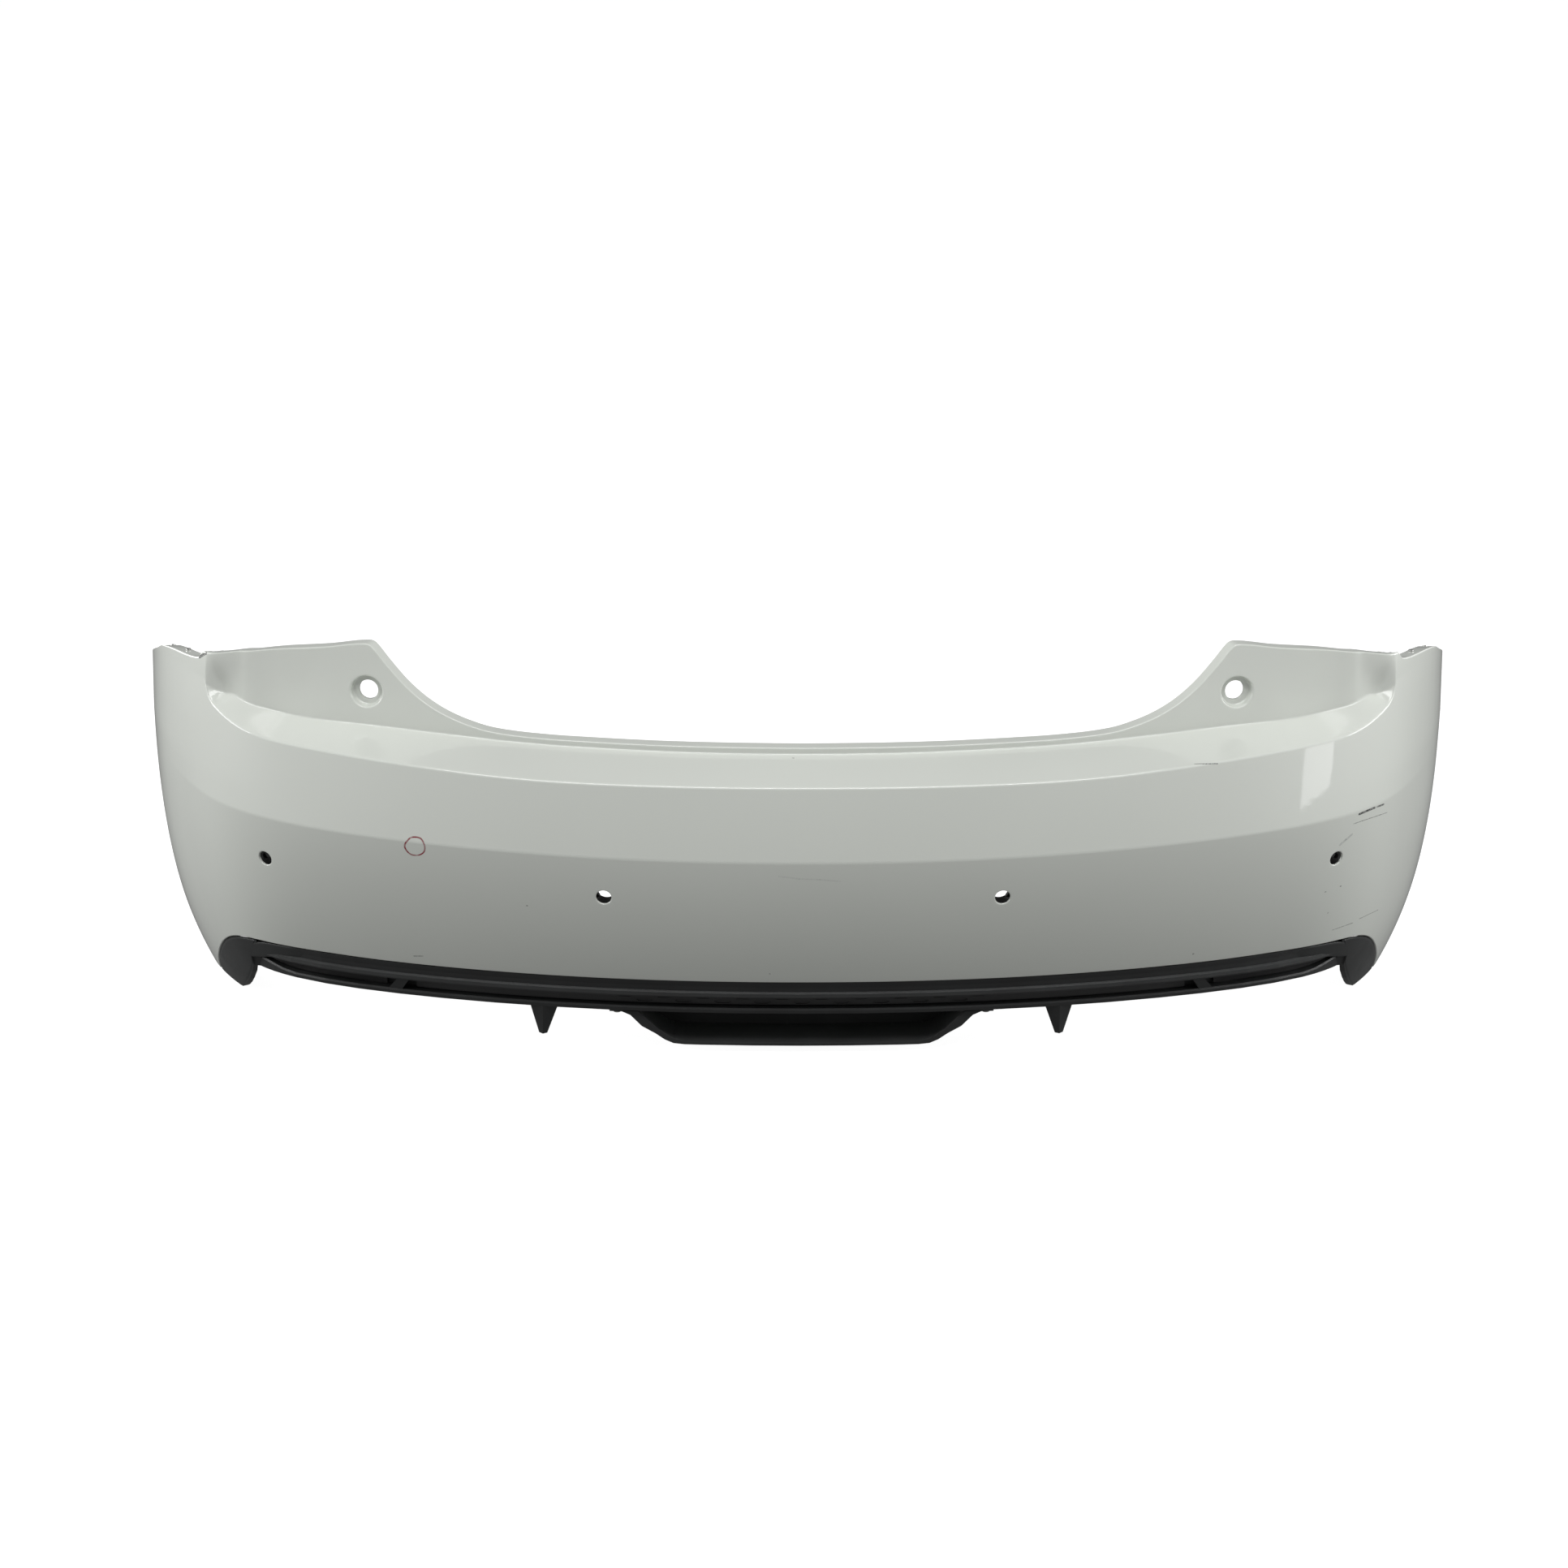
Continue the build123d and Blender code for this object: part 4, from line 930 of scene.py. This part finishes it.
def steel_material():
    m = Mat("zinc_finish")
    v = m.ramp(m.noise(60.0, 3.0), 0.3, 0.7, 0.0, 1.0)
    m.link(m.mix(v, (0.50, 0.50, 0.49), (0.62, 0.62, 0.60)), m.b.inputs["Base Color"])
    m.link(m.ramp(m.noise(90.0, 2.0), 0.3, 0.7, 0.30, 0.45), m.b.inputs["Roughness"])
    m.set(Metallic=0.9)
    m.link(m.bump(m.noise(900.0, 2.0), 0.1, 0.0002), m.b.inputs["Normal"])
    return m


paint = paint_material()
grained = plastic_material("grained_plastic_finish", (0.024, 0.025, 0.025), (0.031, 0.033, 0.033), 0.42, 1500.0, 0.5)
black = plastic_material("black_plastic_finish", (0.010, 0.010, 0.010), (0.014, 0.014, 0.015), 0.38, 900.0, 0.25)
comb = plastic_material("comb_plastic_finish", (0.045, 0.046, 0.046), (0.055, 0.056, 0.056), 0.45, 900.0, 0.25)
matt = plastic_material("matt_plastic_finish", (0.016, 0.016, 0.016), (0.022, 0.022, 0.022), 0.55, 1200.0, 0.3)
steel = steel_material()

SLOT_MAT = {"white_paint": paint, "grained_plastic": grained, "black_plastic": black, "comb_plastic": comb, "matt_plastic": matt, "steel": steel}
cover.data.materials.append(paint.m)
diffuser.data.materials.append(grained.m)
for name, o in NODES.items():
    low = name.lower()
    key = "matt_plastic"
    if name == "bumper_cover":
        key = "white_paint"
    elif name == "diffuser_panel" or name == "centre_tray":
        key = "grained_plastic"
    elif name == "honeycomb_grille":
        key = "comb_plastic"
    elif "slot_panel" in name:
        key = "black_plastic"
    elif "rivet" in name or "nut" in name or "screw" in name:
        key = "steel"
    o.data.materials.clear()
    o.data.materials.append(SLOT_MAT[key].m)

# ---------------------------------------------------------------------------
# Stage: floor, lights, camera
# ---------------------------------------------------------------------------
low_z = box_start[0][2]
FLOOR_Z = low_z - 0.0008


def flat_plane(name, size, z, col, rough):
    me = bpy.data.meshes.new(name)
    h = size / 2
    me.from_pydata([(-h, -h, z), (h, -h, z), (h, h, z), (-h, h, z)], [], [(0, 1, 2, 3)])
    o = bpy.data.objects.new(name, me)
    bpy.context.scene.collection.objects.link(o)
    m = Mat(name + "_finish")
    m.link(m.mix(m.ramp(m.noise(3.0, 2.0), 0.3, 0.7, 0.0, 1.0), col, tuple(c * 0.99 for c in col)),
           m.b.inputs["Base Color"])
    m.set(Roughness=rough, Specular_IOR_Level=0.1, Emission_Color=(1, 1, 1, 1), Emission_Strength=0.95)
    o.data.materials.append(m.m)
    o.visible_diffuse = False
    o.visible_glossy = False
    return o


floor = flat_plane("floor", 60.0, FLOOR_Z, (0.30, 0.30, 0.30), 0.9)


def area(name, loc, target, sx, sy, power, spread=180.0):
    d = bpy.data.lights.new(name, "AREA")
    d.shape = "RECTANGLE"
    d.size, d.size_y = sx, sy
    d.energy = power
    d.spread = math.radians(spread)
    o = bpy.data.objects.new(name, d)
    bpy.context.scene.collection.objects.link(o)
    o.location = loc
    o.rotation_euler = (Vector(target) - Vector(loc)).to_track_quat("-Z", "Y").to_euler()
    o.visible_camera = False
    return o


LIGHTS = [
    ("key", (0.0, -1.6, 3.4), (0, 0, -0.1), 3.4, 1.6, 112.0),
    ("side_left", (-3.0, -0.1, 0.5), (-0.7, 0.2, -0.15), 1.8, 1.2, 38.0),
    ("side_right", (3.0, -0.1, 0.5), (0.7, 0.2, -0.15), 1.8, 1.2, 41.0),
    ("back_left", (-2.6, 1.4, 0.4), (-0.8, 0.35, -0.1), 1.6, 1.2, 20.0),
    ("back_right", (2.6, 1.4, 0.4), (0.8, 0.35, -0.1), 1.6, 1.2, 6.0),
    ("glint", (2.70, -1.39, -0.18), (0.644, 0.003, -0.047), 0.45, 0.32, 1.6),
    ("bounce", (0.0, -1.6, -0.386), (0, -1.6, 1.0), 3.4, 2.2, 8.5),
]
for row in LIGHTS:
    area(*row)

world = bpy.data.worlds.new("studio")
bpy.context.scene.world = world
world.use_nodes = True
bg = world.node_tree.nodes.get("Background")
bg.inputs[0].default_value = (1.0, 1.0, 1.0, 1)
bg.inputs[1].default_value = 0.17
bpy.context.scene.view_settings.view_transform = "Standard"

cam_data = bpy.data.cameras.new("view")
cam_data.lens = 4080.0 / 1932.0 * 36.0
cam_data.sensor_width = 36.0
cam = bpy.data.objects.new("view", cam_data)
bpy.context.scene.collection.objects.link(cam)
a, e, r = math.radians(-0.785), math.radians(20.0), math.radians(0.29)
fwd = Vector((-math.sin(a) * math.cos(e), math.cos(a) * math.cos(e), -math.sin(e)))
right = fwd.cross(Vector((0, 0, 1))).normalized()
up = right.cross(fwd)
cx = right * math.cos(r) + up * math.sin(r)
cy = -right * math.sin(r) + up * math.cos(r)
cz = -fwd
rot = Matrix((cx, cy, cz)).transposed().to_4x4()
cam.matrix_world = Matrix.Translation(Vector((-0.076272, -3.870418, 1.358246))) @ rot
bpy.context.scene.camera = cam

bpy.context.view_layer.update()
